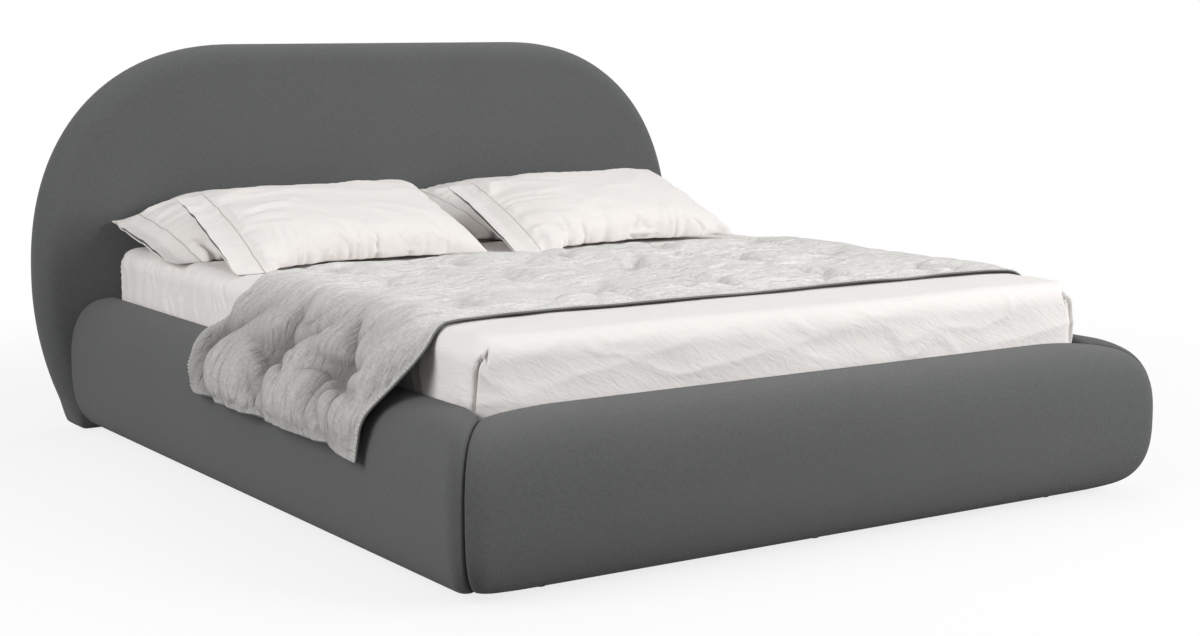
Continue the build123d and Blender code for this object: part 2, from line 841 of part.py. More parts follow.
with BuildPart() as bed_sheet:
    add(mattress_body(0))
    add(mattress_body(sheet_thickness), mode=Mode.SUBTRACT)
    with BuildSketch(Plane.XY.offset(mattress_bottom)):
        with Locations((0, foot_inner + opening_length / 2)):
            RectangleRounded(
                opening_width - 2 * sheet_tuck, opening_length - 2 * sheet_tuck, mattress_corner_radius
            )
    extrude(amount=sheet_thickness, mode=Mode.SUBTRACT)
finish(bed_sheet, "bed_sheet")

mattress_core_inset = sheet_thickness + ticking_thickness
with BuildPart() as mattress_ticking:
    add(mattress_body(sheet_thickness))
    add(mattress_body(mattress_core_inset), mode=Mode.SUBTRACT)
finish(mattress_ticking, "mattress_ticking")

with BuildPart() as mattress_core:
    add(mattress_body(mattress_core_inset))
finish(mattress_core, "mattress_core")


# Quilt: a padded throw laid across the bed, falling over both side rails
def quilt_chain(offset, fold_share, side):
    """Half of one face of the quilt, from the middle of the bed to the hem."""
    slope = math.radians(quilt_slope_angle - quilt_fold_angle * fold_share)
    fall = math.radians(quilt_fall_angle)
    reach = half_opening + quilt_overhang + quilt_fold_depth * fold_share
    start = half_opening - bedding_gap - mattress_top_radius
    bend_run = quilt_edge_radius * math.sin(slope) + quilt_fall_radius * (math.sin(fall) - math.sin(slope))
    slope_length = (reach - start - bend_run) / math.cos(slope)
    edge_centre = Vector(start, mattress_top + rest_gap - quilt_edge_radius)
    edge_radius = quilt_edge_radius + offset
    fall_radius = quilt_fall_radius + offset

    def at_angle(centre, radius, angle):
        """Point on a bend whose line has turned down by an angle."""
        return centre + Vector(math.sin(angle), math.cos(angle)) * radius

    down_slope = Vector(math.cos(slope), -math.sin(slope)) * slope_length
    fall_centre = at_angle(edge_centre, quilt_edge_radius, slope) + down_slope
    fall_centre -= Vector(math.sin(slope), math.cos(slope)) * quilt_fall_radius
    fall_end = at_angle(fall_centre, fall_radius, fall)
    points = [
        Vector(0, edge_centre.Y + edge_radius),
        at_angle(edge_centre, edge_radius, 0),
        at_angle(edge_centre, edge_radius, slope / 2),
        at_angle(edge_centre, edge_radius, slope),
        at_angle(fall_centre, fall_radius, slope),
        at_angle(fall_centre, fall_radius, (slope + fall) / 2),
        fall_end,
        fall_end + Vector(math.cos(fall), -math.sin(fall)) * quilt_hem_length,
    ]
    return [(side * point.X, point.Y) for point in points]


def draw_quilt_chain(points):
    """Lines and arcs through the points of one chain."""
    Line(points[0], points[1])
    ThreePointArc(points[1], points[2], points[3])
    Line(points[3], points[4])
    ThreePointArc(points[4], points[5], points[6])
    Line(points[6], points[7])


with BuildPart() as quilt:
    for station in range(quilt_station_count):
        along_share = station / (quilt_station_count - 1)
        along = quilt_head_edge - quilt_length * along_share
        fold_share = (1 - math.cos(2 * math.pi * quilt_fold_count * along_share)) / 2
        section_plane = Plane(origin=(0, along, 0), x_dir=(1, 0, 0), z_dir=(0, -1, 0))
        with BuildSketch(section_plane):
            with BuildLine():
                for side in (-1, 1):
                    under = quilt_chain(0, fold_share, side)
                    over = quilt_chain(quilt_thickness, fold_share, side)
                    draw_quilt_chain(under)
                    draw_quilt_chain(over)
                    Line(under[-1], over[-1])
            make_face()
    loft()
finish(quilt, "quilt")


# Pillows: a filling in a case with a hem at one end
def pillow_body(middle, along, width, thickness, tilt, inset):
    """Crowned pillow lying on the mattress at a tilt, its sides drawn in between the corners."""
    slope = math.radians(tilt)
    rise = thickness / 2
    half_chord = pillow_height * min(pillow_height_shares) / 2
    arc_radius = (half_chord**2 + rise**2) / (2 * rise)
    height = mattress_top + rest_gap + arc_radius - (arc_radius - rise) * math.cos(slope)
    across = Vector(0, math.cos(slope), math.sin(slope))
    stations = zip(pillow_station_shares, pillow_crown_shares, pillow_height_shares)
    with BuildPart() as body:
        for place_share, crown_share, height_share in stations:
            place = (place_share - 1 / 2) * (width - 2 * inset)
            section = Plane(origin=(middle + place, along, height), x_dir=across, z_dir=(1, 0, 0))
            half_height = (pillow_height * height_share) / 2 - inset
            crown = (rise - inset) * crown_share
            with BuildSketch(section):
                with BuildLine():
                    ThreePointArc((-half_height, 0), (0, crown), (half_height, 0))
                    ThreePointArc((half_height, 0), (0, -crown), (-half_height, 0))
                make_face()
        loft()
    return body.part


def pillow(name, middle, along, width, thickness, tilt):
    """A pillow's case and, inside it, its filling."""
    with BuildPart() as filling:
        add(pillow_body(middle, along, width, thickness, tilt, pillow_fill_inset))
    with BuildPart() as case:
        add(pillow_body(middle, along, width, thickness, tilt, 0))
        add(filling.part, mode=Mode.SUBTRACT)
    finish(filling, "pillow_filling_" + name)
    finish(case, "pillowcase_" + name)


front_along = front_pillow_edge + pillow_height / 2 * math.cos(math.radians(front_pillow_tilt))
rear_reach = pillow_height / 2 * math.cos(math.radians(rear_pillow_tilt))
rear_along = headboard_front - rear_pillow_wall_gap - rear_reach
for name, middle in (("rear_left", -rear_pillow_middle), ("rear_right", rear_pillow_middle)):
    pillow(name, middle, rear_along, rear_pillow_width, rear_pillow_thickness, rear_pillow_tilt)
for name, middle in (("front_left", front_left_middle), ("front_right", front_right_middle)):
    pillow(name, middle, front_along, front_pillow_width, front_pillow_thickness, front_pillow_tilt)
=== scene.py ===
import json
import math

import bpy
import numpy as np
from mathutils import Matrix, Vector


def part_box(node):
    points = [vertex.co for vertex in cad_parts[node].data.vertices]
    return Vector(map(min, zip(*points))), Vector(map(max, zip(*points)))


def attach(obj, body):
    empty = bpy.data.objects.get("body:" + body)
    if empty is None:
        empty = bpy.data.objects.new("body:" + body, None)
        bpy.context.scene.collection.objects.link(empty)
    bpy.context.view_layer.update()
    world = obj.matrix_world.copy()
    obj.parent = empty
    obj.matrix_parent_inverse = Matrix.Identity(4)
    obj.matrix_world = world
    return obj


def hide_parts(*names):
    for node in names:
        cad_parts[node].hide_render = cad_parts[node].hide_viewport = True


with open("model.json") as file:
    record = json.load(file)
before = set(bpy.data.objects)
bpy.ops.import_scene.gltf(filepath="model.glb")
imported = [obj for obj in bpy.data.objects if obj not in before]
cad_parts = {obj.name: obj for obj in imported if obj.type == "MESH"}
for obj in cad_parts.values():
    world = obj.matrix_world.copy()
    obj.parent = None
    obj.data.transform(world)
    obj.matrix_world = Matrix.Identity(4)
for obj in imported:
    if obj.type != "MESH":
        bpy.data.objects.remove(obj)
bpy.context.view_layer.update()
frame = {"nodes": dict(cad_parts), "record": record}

# Upholstered bed: the looks of its covers, bedding, woodwork and fittings, in metres.
# +Z is up, +Y is towards the headboard, +X is right as seen from the foot.

bl_info = {
    "name": "Upholstered Bed",
    "version": (1, 0, 0),
    "blender": (4, 5, 0),
    "location": "View3D > Sidebar > Bed",
    "description": "Dresses an upholstered bed and its bedding",
    "category": "Add Mesh",
}

MM = 0.001

# Places read from the frame
RAIL_LOW, RAIL_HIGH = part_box("rail_cover_right")
FOOT_LOW, FOOT_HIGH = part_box("foot_cover")
HEAD_LOW, HEAD_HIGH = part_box("headboard_cover")
SHEET_LOW, SHEET_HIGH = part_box("bed_sheet")
HALF_OPENING = RAIL_LOW.x
HEAD_FRONT = HEAD_LOW.y
FOOT_INNER = FOOT_HIGH.y
FLOOR_LOW = RAIL_LOW.z
SIDE_REACH = RAIL_HIGH.x - RAIL_LOW.x
FOOT_REACH = FOOT_HIGH.y - FOOT_LOW.y


def number(name, description, default, **more):
    """A number that a user may change."""
    return bpy.props.FloatProperty(name=name, description=description, default=default, **more)


def metres(name, description, default):
    """A length that a user may change."""
    return number(name, description, default, min=0, unit="LENGTH", precision=4)


def watts(name, description, default):
    """A lamp's power that a user may change."""
    return number(name, description, default, unit="POWER")


def colour(name, description, default):
    """A colour that a user may change, from its sRGB hex value."""
    rgb = linear(default)[:3]
    return bpy.props.FloatVectorProperty(
        name=name, description=description, default=rgb, subtype="COLOR", size=3, min=0, max=1
    )


def linear(hex_value):
    """Linear red, green, blue and alpha of an sRGB hex colour."""
    parts = [int(hex_value[i : i + 2], 16) / 255 for i in (1, 3, 5)]
    return [p / 12.92 if p <= 0.04045 else ((p + 0.055) / 1.055) ** 2.4 for p in parts] + [1.0]


WHITE = linear("#FFFFFF")


class BedUpholstery(bpy.types.PropertyGroup):
    cloth_colour: colour("Cloth", "Colour of the upholstery cloth", "#5B5D5C")
    rail_squareness: number("Rail squareness", "2 is an oval section, more is squarer", 2.72)
    corner_radius: metres("Corner radius", "Rounding of the foot corners in plan", 0.062)
    inner_edge_radius: metres("Inner edge radius", "Rounding of the edge by the mattress", 0.009)
    seam_depth: metres("Seam depth", "How deep the cloth goes in at a seam", 0.006)
    seam_width: metres("Seam width", "Half the width of the groove at a seam", 0.007)
    foot_dip: metres("Foot rail dip", "How far the foot rail drops towards its corner", 0.013)
    foot_dip_run: metres("Foot rail dip run", "Length over which the foot rail drops", 0.17)
    side_dip_run: metres("Side rail dip run", "Length over which a side rail drops", 0.06)
    flat_top: metres("Headboard flat top", "Width of the straight part of the headboard's top", 0.894)
    side_radius: metres("Headboard side radius", "Radius of the headboard's lower sides", 0.883)
    widest_height: metres("Headboard widest height", "Height at which the headboard is widest", 0.425)
    shoulder_squareness: number("Shoulder squareness", "2 is an oval shoulder, more is squarer", 2.28)
    foot_radius: metres("Headboard foot radius", "Rounding of the headboard's lower corners", 0.03)
    cloth_thickness: metres("Cloth thickness", "Thickness of the upholstery cloth", 0.002)
    crown: metres("Headboard crown", "How far the foam bulges the headboard's front", 0.0018)


class BedBedding(bpy.types.PropertyGroup):
    sheet_colour: colour("Sheet", "Colour of the fitted sheet", "#ECE8E5")
    quilt_colour: colour("Quilt", "Colour of the quilt's cloth", "#F7F1EB")
    pillow_colour: colour("Pillowcases", "Colour of the pillowcases", "#E6E2DF")
    sheet_room: metres("Sheet room", "How far the ticking lies inside the sheet's face", 0.006)
    sheet_edge_radius: metres("Mattress edge radius", "Rounding of the mattress's top edge", 0.048)
    sheet_corner_radius: metres(
        "Mattress corner radius", "Rounding of the mattress's corners in plan", 0.062
    )
    quilt_edge: metres("Quilt edge", "Thickness of the quilt's rolled edge", 0.008)
    quilt_puff: metres("Quilt puff", "How far the quilt puffs up between its tufts", 0.0125)
    billow: metres("Billow", "How far the hanging cloth bulges between its folds", 0.037)
    quilt_pressed: metres("Pressed quilt", "Height of the quilt's top where pillows press it down", 0.0095)
    stitch_pitch: metres("Stitch pitch", "Distance between the stitches of the quilt's edge", 0.009)
    stitch_reach: metres("Stitch reach", "How far a stitch reaches over the edge", 0.0055)
    stitch_thickness: metres("Stitch thickness", "Thickness of the edge's thread", 0.0022)
    tuft_pitch: metres("Tuft pitch", "Distance between the quilt's tufts", 0.33)
    band: metres("Pillowcase band", "Width of the hemmed band at a pillowcase's open end", 0.072)
    lower_edge_sink: metres("Lower edge sink", "How far a pillow's lower edge sinks on the bed", 0.014)
    mouth: metres("Pillowcase mouth", "How far a pillowcase's open end gapes at its middle", 0.010)


class BedStage(bpy.types.PropertyGroup):
    floor_colour: colour("Floor", "Colour of the floor", "#F7F7F7")
    floor_white: number("Floor white", "Share of the backdrop's white in the floor near the bed", 0.8)
    floor_bounce: number("Floor bounce", "Share of its light that the floor throws back at the bed", 0.22)
    floor_reach: metres("Floor reach", "How far the floor keeps its own colour", 1.7)
    floor_end: metres("Floor end", "Where the floor has turned into the backdrop", 3.6)
    world_level: number("Fill", "Strength of the even light", 0.31)
    key_power: watts("Key", "Power of the overhead light", 42)
    front_power: watts("Front", "Power of the light at the foot of the bed", 258)
    side_power: watts("Side", "Power of the light on the left", 188)
    right_power: watts("Right", "Power of the light on the right", 124)
    lens: number("Lens", "Focal length in millimetres", 61.893)
    camera_place: bpy.props.FloatVectorProperty(
        name="Camera", description="Place of the camera", default=(-2.840, -4.4365, 1.137),
        subtype="XYZ", unit="LENGTH"
    )
    camera_pitch: number("Pitch", "How far the camera looks down", math.radians(8.309), unit="ROTATION")
    camera_yaw: number(
        "Yaw", "How far the camera is turned to the right", math.radians(33.478), unit="ROTATION"
    )


# Meshes
def mesh_piece(name, points, faces, corner_uvs=None):
    """A smooth-shaded mesh object, with a UV in metres for every face corner."""
    mesh = bpy.data.meshes.new(name)
    mesh.from_pydata([tuple(map(float, p)) for p in points], [], faces)
    if corner_uvs is not None:
        layer = mesh.uv_layers.new(name="Cloth")
        layer.data.foreach_set("uv", np.asarray(corner_uvs, np.float32).ravel())
    mesh.polygons.foreach_set("use_smooth", [True] * len(mesh.polygons))
    mesh.update()
    piece = bpy.data.objects.new(name, mesh)
    bpy.context.scene.collection.objects.link(piece)
    return piece


def points_of(piece):
    """Places of a piece's points."""
    return np.array([point.co for point in piece.data.vertices])


def move_points(piece, places):
    """Give a piece's points new places."""
    piece.data.vertices.foreach_set("co", places.astype(np.float32).ravel())
    piece.data.update()


def soften(piece):
    """Smooth a piece by one level of subdivision."""
    rounding = piece.modifiers.new("soften", "SUBSURF")
    rounding.levels = rounding.render_levels = 1


def grid_faces(rows, columns, wrap=False, first=0, flip=False):
    """Quads of a grid of points, and the rows and columns of their corners."""
    faces, corners = [], []
    for r in range(rows - 1):
        for c in range(columns if wrap else columns - 1):
            d = (c + 1) % columns
            quad = [(r, c), (r, d), (r + 1, d), (r + 1, c)]
            cut = [(r, c), (r, c + 1), (r + 1, c + 1), (r + 1, c)]
            if flip:
                quad, cut = quad[::-1], cut[::-1]
            faces.append([first + i * columns + j for i, j in quad])
            corners.extend(cut)
    return faces, corners


def grid_piece(name, points, uv, wrap=False, flip=False, closed=()):
    """A piece from a grid of points. uv has one more column than points where the grid wraps.

    closed lists the end rows, 0 or -1, whose opening gets a flat face.
    """
    rows, columns = points.shape[:2]
    faces, corners = grid_faces(rows, columns, wrap, flip=flip)
    for end in closed:
        cap = [(end % rows, column) for column in range(columns)]
        if (end == 0) != flip:
            cap.reverse()
        faces.append([r * columns + c for r, c in cap])
        corners.extend(cap)
    corner_uvs = [uv[i, j] for i, j in corners]
    piece = mesh_piece(name, points.reshape(-1, 3), faces, corner_uvs)
    for number in range(len(closed)):
        piece.data.polygons[-1 - number].use_smooth = False
    return piece


def normals_of(points, wrap=False):
    """Unit normals of a grid of points."""
    if wrap:
        across = np.roll(points, -1, 1) - np.roll(points, 1, 1)
    else:
        across = np.gradient(points, axis=1)
    along = np.gradient(points, axis=0)
    normal = np.cross(across, along)
    return normal / np.maximum(np.linalg.norm(normal, axis=2, keepdims=True), 1e-12)


def soft_noise(a, b, seed):
    """Smooth noise from -1 to 1 at the places a, b, one lump to each unit."""
    size = 64
    table = np.random.default_rng(seed).uniform(-1, 1, (size, size))
    a, b = np.broadcast_arrays(np.asarray(a, float), np.asarray(b, float))
    i, j = np.floor(a).astype(int), np.floor(b).astype(int)
    s, t = smooth_step(a - i, 0, 1), smooth_step(b - j, 0, 1)
    near = table[i % size, j % size] * (1 - s) + table[(i + 1) % size, j % size] * s
    far = table[i % size, (j + 1) % size] * (1 - s) + table[(i + 1) % size, (j + 1) % size] * s
    return near * (1 - t) + far * t


def smooth_step(value, low, high):
    """0 below low, 1 above high, smooth between them."""
    t = np.clip((value - low) / (high - low), 0, 1)
    return t * t * (3 - 2 * t)


def outward_of(ring):
    """Outward directions at the points of a closed flat outline."""
    step = np.roll(ring, -1, 0) - np.roll(ring, 1, 0)
    step /= np.linalg.norm(step, axis=1, keepdims=True)
    return np.stack([step[:, 1], -step[:, 0]], axis=1)


def closed_round(uv):
    """UVs of a grid that wraps, with its first column once more at the end."""
    return np.concatenate([uv, uv[:, :1]], axis=1)


def run_along(points, axis):
    """Distance travelled along one direction of a grid of points."""
    step = np.linalg.norm(np.diff(points, axis=axis), axis=2)
    start = np.zeros_like(np.take(step, [0], axis=axis))
    return np.concatenate([start, np.cumsum(step, axis=axis)], axis=axis)


def settle(piece, body, slot, material, *nodes):
    """Ride the piece on its body, give it its finish and let it stand for its CAD nodes."""
    piece.data.materials.clear()
    piece.data.materials.append(material)
    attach(piece, body)
    if nodes:
        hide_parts(*nodes)
    return piece


# Materials
def new_material(name):
    """An empty node material, its tree and its shader."""
    material = bpy.data.materials.new(name)
    material.use_nodes = True
    tree = material.node_tree
    return material, tree, tree.nodes["Principled BSDF"]


def add(tree, kind, settings=None, links=None):
    """Add a node with its settings, and link its inputs to other nodes' outputs."""
    node = tree.nodes.new(kind)
    for key, value in (settings or {}).items():
        if isinstance(key, int) or key in node.inputs:
            node.inputs[key].default_value = value
        else:
            setattr(node, key, value)
    for key, source in (links or {}).items():
        tree.links.new(source, node.inputs[key])
    return node


def maths(tree, operation, first, second):
    """Output of an arithmetic node on two outputs or numbers."""
    node = tree.nodes.new("ShaderNodeMath")
    node.operation = operation
    for socket, value in zip(node.inputs, (first, second)):
        if isinstance(value, (int, float)):
            socket.default_value = value
        else:
            tree.links.new(value, socket)
    return node.outputs[0]


def noise(tree, vector, scale, detail, roughness=0.5, distortion=0.0):
    """Output of a noise texture. scale counts its lumps to each unit of the vector."""
    settings = {"Scale": scale, "Detail": detail, "Roughness": roughness, "Distortion": distortion}
    return add(tree, "ShaderNodeTexNoise", settings, {"Vector": vector}).outputs[0]


def stretched(tree, vector, scale, rotation=(0.0, 0.0, 0.0)):
    """Output of a mapping that turns and then stretches a vector."""
    settings = {"Scale": scale, "Rotation": rotation}
    return add(tree, "ShaderNodeMapping", settings, {"Vector": vector}).outputs[0]


def bumped(tree, height, strength, distance, normal=None):
    """Output of a bump over a height, on top of another normal where one is given."""
    links = {"Height": height} if normal is None else {"Height": height, "Normal": normal}
    return add(tree, "ShaderNodeBump", {"Strength": strength, "Distance": distance}, links).outputs[0]


def connect(shader, **outputs):
    """Link outputs to the shader's inputs; an input's name has _ where its label has a space."""
    for name, output in outputs.items():
        shader.id_data.links.new(output, shader.inputs[name.replace("_", " ")])


def blend_colours(tree, factor, low, high):
    """Output of a mix between two colours."""
    node = tree.nodes.new("ShaderNodeMix")
    node.data_type = "RGBA"
    for socket, value in ((node.inputs[0], factor), (node.inputs[6], low), (node.inputs[7], high)):
        if isinstance(value, bpy.types.NodeSocket):
            tree.links.new(value, socket)
        else:
            socket.default_value = value
    return node.outputs[2]


def shade(rgb, level):
    """A colour made darker or lighter."""
    return [min(c * level, 1) for c in rgb[:3]] + [1.0]


def cloth_material(name, rgb, thread, dark, light, roughness, sheen, relief, slub, uneven):
    """Woven cloth. thread is the pitch of its threads in metres and slub their unevenness."""
    material, tree, shader = new_material(name)
    finish = {
        "Roughness": roughness, "Specular IOR Level": 0.25, "Sheen Weight": sheen, "Sheen Roughness": 0.6
    }
    for label, value in finish.items():
        shader.inputs[label].default_value = value
    place = add(tree, "ShaderNodeTexCoord").outputs
    split = add(tree, "ShaderNodeSeparateXYZ", links={0: place["UV"]}).outputs
    turn = math.pi / thread
    warp = maths(tree, "SINE", maths(tree, "MULTIPLY", split[0], turn), 0)
    weft = maths(tree, "SINE", maths(tree, "MULTIPLY", split[1], turn), 0)
    over = maths(tree, "MULTIPLY", warp, weft)
    ribs = maths(tree, "ADD", over, maths(tree, "ABSOLUTE", weft, 0))
    # Slubs are four times as long as they are thick
    length, thickness = 0.15 / thread, 0.6 / thread
    threads = noise(tree, stretched(tree, place["UV"], (length, thickness, 1)), 1.0, 3.0, 0.6)
    cross_threads = noise(tree, stretched(tree, place["UV"], (thickness, length, 1)), 1.0, 3.0, 0.6)
    yarn = maths(tree, "MULTIPLY", maths(tree, "ADD", threads, cross_threads), 0.5)
    patches = noise(tree, place["UV"], 3.0, 4.0, 0.55)
    tone = maths(tree, "ADD", maths(tree, "MULTIPLY", yarn, slub), maths(tree, "MULTIPLY", patches, uneven))
    tone = maths(tree, "ADD", tone, maths(tree, "MULTIPLY", over, 0.08))
    level = maths(tree, "ADD", tone, 0.5 - (slub + uneven) / 2)
    tint = blend_colours(tree, level, shade(rgb, dark), shade(rgb, light))
    height = maths(tree, "ADD", maths(tree, "MULTIPLY", ribs, 0.35), maths(tree, "MULTIPLY", yarn, 1.2))
    normal = bumped(tree, height, relief, thread * 0.5)
    connect(shader, Base_Color=tint, Normal=normal)
    return material, tree, shader, place, tint, normal


def upholstery_cloth():
    # Plain-woven polyester upholstery cloth, piece-dyed: matt, with a fine even rib and faint slubs.
    # Real threads are about 0.7 mm apart; they are drawn 2.2 mm apart so that they show.
    rgb = bpy.context.scene.bed_upholstery.cloth_colour
    return cloth_material(
        "woven_upholstery_cloth", rgb, thread=2.2 * MM, dark=0.80, light=1.20,
        roughness=0.92, sheen=0.14, relief=0.9, slub=2.2, uneven=0.3
    )[0]


def percale(name, rgb, seam=None):
    # Cotton percale, washed: smooth and matt, with fine creases that catch the light.
    # Real threads are about 0.3 mm apart; they are drawn 1.6 mm apart. seam is a stitched line's place,
    # painted darker.
    material, tree, shader, place, tint, normal = cloth_material(
        name, rgb, thread=1.6 * MM, dark=0.97, light=1.02,
        roughness=0.8, sheen=0.05, relief=0.05, slub=0.6, uneven=0.5
    )
    turned = stretched(tree, place["Object"], (1, 1, 1), (0.0, math.radians(-32), 0.0))
    creases = noise(tree, stretched(tree, turned, (28.0, 36.0, 90.0)), 1.0, 2.5, 0.5, 0.7)
    normal = bumped(tree, creases, 0.4, 4.5 * MM, normal)
    if seam:
        split = add(tree, "ShaderNodeSeparateXYZ", links={0: place["UV"]}).outputs
        gap = maths(tree, "ABSOLUTE", maths(tree, "SUBTRACT", split[0], seam), 0)
        # Painted shade: the colour darkens along the seam, as shade in its groove, with a matching bump
        ends = {"From Min": 0.5 * MM, "From Max": 2.2 * MM, "To Min": 1.0, "To Max": 0.0}
        line = add(tree, "ShaderNodeMapRange", ends, {"Value": gap}).outputs[0]
        connect(shader, Base_Color=blend_colours(tree, line, tint, shade(rgb, 0.66)))
        normal = bumped(tree, maths(tree, "MULTIPLY", line, -1.0), 0.6, 2 * MM, normal)
    connect(shader, Normal=normal)
    return material


def quilt_cloth():
    # Brushed cotton and wool blend, woven from flecked yarn: fuzzy, soft, pale grey with darker threads.
    # Its colour is darkened in the creases and on the hanging ends: painted shade.
    # Real threads are about 1 mm apart; they are drawn 2.4 mm apart.
    rgb = bpy.context.scene.bed_bedding.quilt_colour
    material, tree, shader, place, tint, normal = cloth_material(
        "brushed_quilt_cloth", rgb, thread=2.4 * MM, dark=0.64, light=1.18,
        roughness=0.95, sheen=0.15, relief=0.9, slub=2.0, uneven=0.4
    )
    normal = bumped(tree, noise(tree, place["UV"], 26.0, 3.0, 0.5, 0.8), 0.6, 12 * MM, normal)
    # Fine creases run across the bed, down the hanging ends
    creases = noise(tree, stretched(tree, place["UV"], (9.0, 70.0, 1.0)), 1.0, 2.0, 0.55, 0.9)
    # Painted shade: the colour darkens by up to 40 % where the mesh's shade attribute is high
    painted_shade = add(tree, "ShaderNodeAttribute", {"attribute_name": "painted_shade"}).outputs["Fac"]
    level = maths(tree, "SUBTRACT", 1.0, maths(tree, "MULTIPLY", painted_shade, 0.40))
    darker = add(tree, "ShaderNodeVectorMath", {"operation": "SCALE"}, {0: tint, "Scale": level}).outputs[0]
    connect(shader, Base_Color=darker, Normal=bumped(tree, creases, 0.9, 9 * MM, normal))
    return material


def quilt_backing():
    # Plain cotton backing and rolled edge, dyed dark grey, woven: matt.
    # Real threads are about 0.5 mm apart; they are drawn 1.6 mm apart.
    # The pillowcases' open ends use this cloth too, as painted shadow in their slots
    return cloth_material(
        "grey_backing_and_painted_mouth_shade", linear("#6F706E"), thread=1.6 * MM, dark=0.85, light=1.15,
        roughness=0.9, sheen=0.1, relief=0.2, slub=0.6, uneven=0.3
    )[0]


def quilt_edge_shadow():
    # Painted shadow: the same cotton in near-black on the narrow strip that the rolled edge turns under
    return cloth_material(
        "painted_edge_shadow", linear("#2E2E2D"), thread=1.6 * MM, dark=0.85, light=1.15,
        roughness=0.9, sheen=0.1, relief=0.2, slub=0.6, uneven=0.3
    )[0]


def quilt_thread():
    # Spun cotton thread, cream: softly hairy, with a twist
    return cloth_material(
        "cream_cotton_thread", linear("#E4E0DA"), thread=0.6 * MM, dark=0.85, light=1.1,
        roughness=0.85, sheen=0.1, relief=0.3, slub=0.5, uneven=0.3
    )[0]


def wood(name, low, high, grain, roughness):
    """Planed timber. grain is the width of its growth rings' lines in metres."""
    material, tree, shader = new_material(name)
    shader.inputs["Roughness"].default_value = roughness
    along = stretched(tree, add(tree, "ShaderNodeTexCoord").outputs["Object"], (1, 0.12, 1))
    waves = {"Scale": 0.05 / grain, "Distortion": 6.0, "Detail": 3.0, "Detail Scale": 1.2}
    rings = add(tree, "ShaderNodeTexWave", waves, {"Vector": along}).outputs[1]
    pores = noise(tree, along, 1 / grain, 4.0)
    level = maths(tree, "ADD", maths(tree, "MULTIPLY", rings, 0.6), maths(tree, "MULTIPLY", pores, 0.4))
    tint = blend_colours(tree, level, linear(low), linear(high))
    connect(shader, Base_Color=tint, Normal=bumped(tree, level, 0.15, 0.5 * MM))
    return material


def hard_finish(name, low, high, grit, metallic, roughness, relief):
    """A moulded, coated or plated surface. grit is the size of its texture in metres."""
    material, tree, shader = new_material(name)
    shader.inputs["Metallic"].default_value = metallic
    place = add(tree, "ShaderNodeTexCoord").outputs["Object"]
    grain = noise(tree, place, 1 / grit, 3.0)
    wear = noise(tree, place, 12.0, 4.0)
    level = maths(tree, "ADD", maths(tree, "MULTIPLY", grain, 0.5), maths(tree, "MULTIPLY", wear, 0.5))
    tint = blend_colours(tree, level, linear(low), linear(high))
    rough = maths(tree, "ADD", maths(tree, "MULTIPLY", wear, 0.2), roughness - 0.1)
    connect(shader, Base_Color=tint, Roughness=rough, Normal=bumped(tree, grain, relief, grit * 0.3))
    return material


def foam(name, low, high, cell):
    """Cut polyurethane foam. cell is the size of its open cells in metres."""
    material, tree, shader = new_material(name)
    shader.inputs["Roughness"].default_value = 0.95
    place = add(tree, "ShaderNodeTexCoord").outputs["Object"]
    cells = add(tree, "ShaderNodeTexVoronoi", {"Scale": 1 / cell}, {"Vector": place}).outputs[0]
    tint = blend_colours(tree, cells, linear(low), linear(high))
    connect(shader, Base_Color=tint, Normal=bumped(tree, cells, 0.4, cell * 0.5))
    return material


# Upholstered rails. A rail's rows start out as if it went on past its end by the overlap,
# and are spread to its real length from a distance off the seam.
RAIL_OVERLAP = 0.08
SPREAD_FROM = 0.3


def rail_section(reach, squareness, edge):
    """Outward and upward places round a rail's section, from the inner bottom edge."""
    low, high = FLOOR_LOW, RAIL_HIGH.z
    middle, half = (low + high) / 2, (high - low) / 2
    places = [(0, low + edge + (high - low - 2 * edge) * step / 6) for step in range(7)]
    for step in range(1, 6):
        angle = math.pi / 2 * step / 5
        places.append((edge - edge * math.cos(angle), high - edge + edge * math.sin(angle)))
    start = math.acos((edge / reach) ** (squareness / 2))
    steps = 56
    for step in range(1, steps):
        angle = start - 2 * start * step / steps
        out = reach * math.cos(angle) ** (2 / squareness)
        rise = half * math.copysign(abs(math.sin(angle)) ** (2 / squareness), math.sin(angle))
        places.append((out, middle + rise))
    for step in range(5, 0, -1):
        angle = math.pi / 2 * step / 5
        places.append((edge - edge * math.cos(angle), low + edge - edge * math.sin(angle)))
    return np.array(places)


def seam_distances(length):
    """Distances from a corner seam, close together near it."""
    near = [0, 0.0012, 0.0025, 0.004, 0.0055, 0.0075, 0.010, 0.0135, 0.018]
    near += [0.024, 0.031, 0.039, 0.048, 0.058, 0.07, 0.085]
    steps = max(int((length - 0.1) / 0.022), 2)
    return np.array(near + [0.1 + (length - 0.1) * i / steps for i in range(steps + 1)])


def drawn_in(distance, depth, run, power):
    """How far the cloth is drawn in at a distance from a seam."""
    return depth * np.clip(1 - distance / run, 0, 1) ** power


def sink(section, distance, reach, dip, dip_run):
    """Outward and upward places of a section, drawn in and down towards the seam."""
    settings = bpy.context.scene.bed_upholstery
    middle = (FLOOR_LOW + RAIL_HIGH.z) / 2
    half = RAIL_HIGH.z - middle
    out, up = section[None, :, 0], section[None, :, 1]
    d = distance[:, None]
    groove = drawn_in(d, settings.seam_depth, settings.seam_width, 2.2)
    soft = drawn_in(d, 0.004, 0.05, 2.0)
    top = (up - middle) / half
    droop = drawn_in(d, dip, dip_run, 1.6) * np.clip(top, 0, 1) ** 2
    lift = drawn_in(d, dip * 0.4, dip_run * 0.7, 1.6) * np.clip(-top, 0, 1) ** 2
    up = up - droop + lift - (groove + soft) * top
    share = np.clip(out / reach, 0, 1)
    out = out * (1 - (groove + soft) / reach)
    return out, up, share


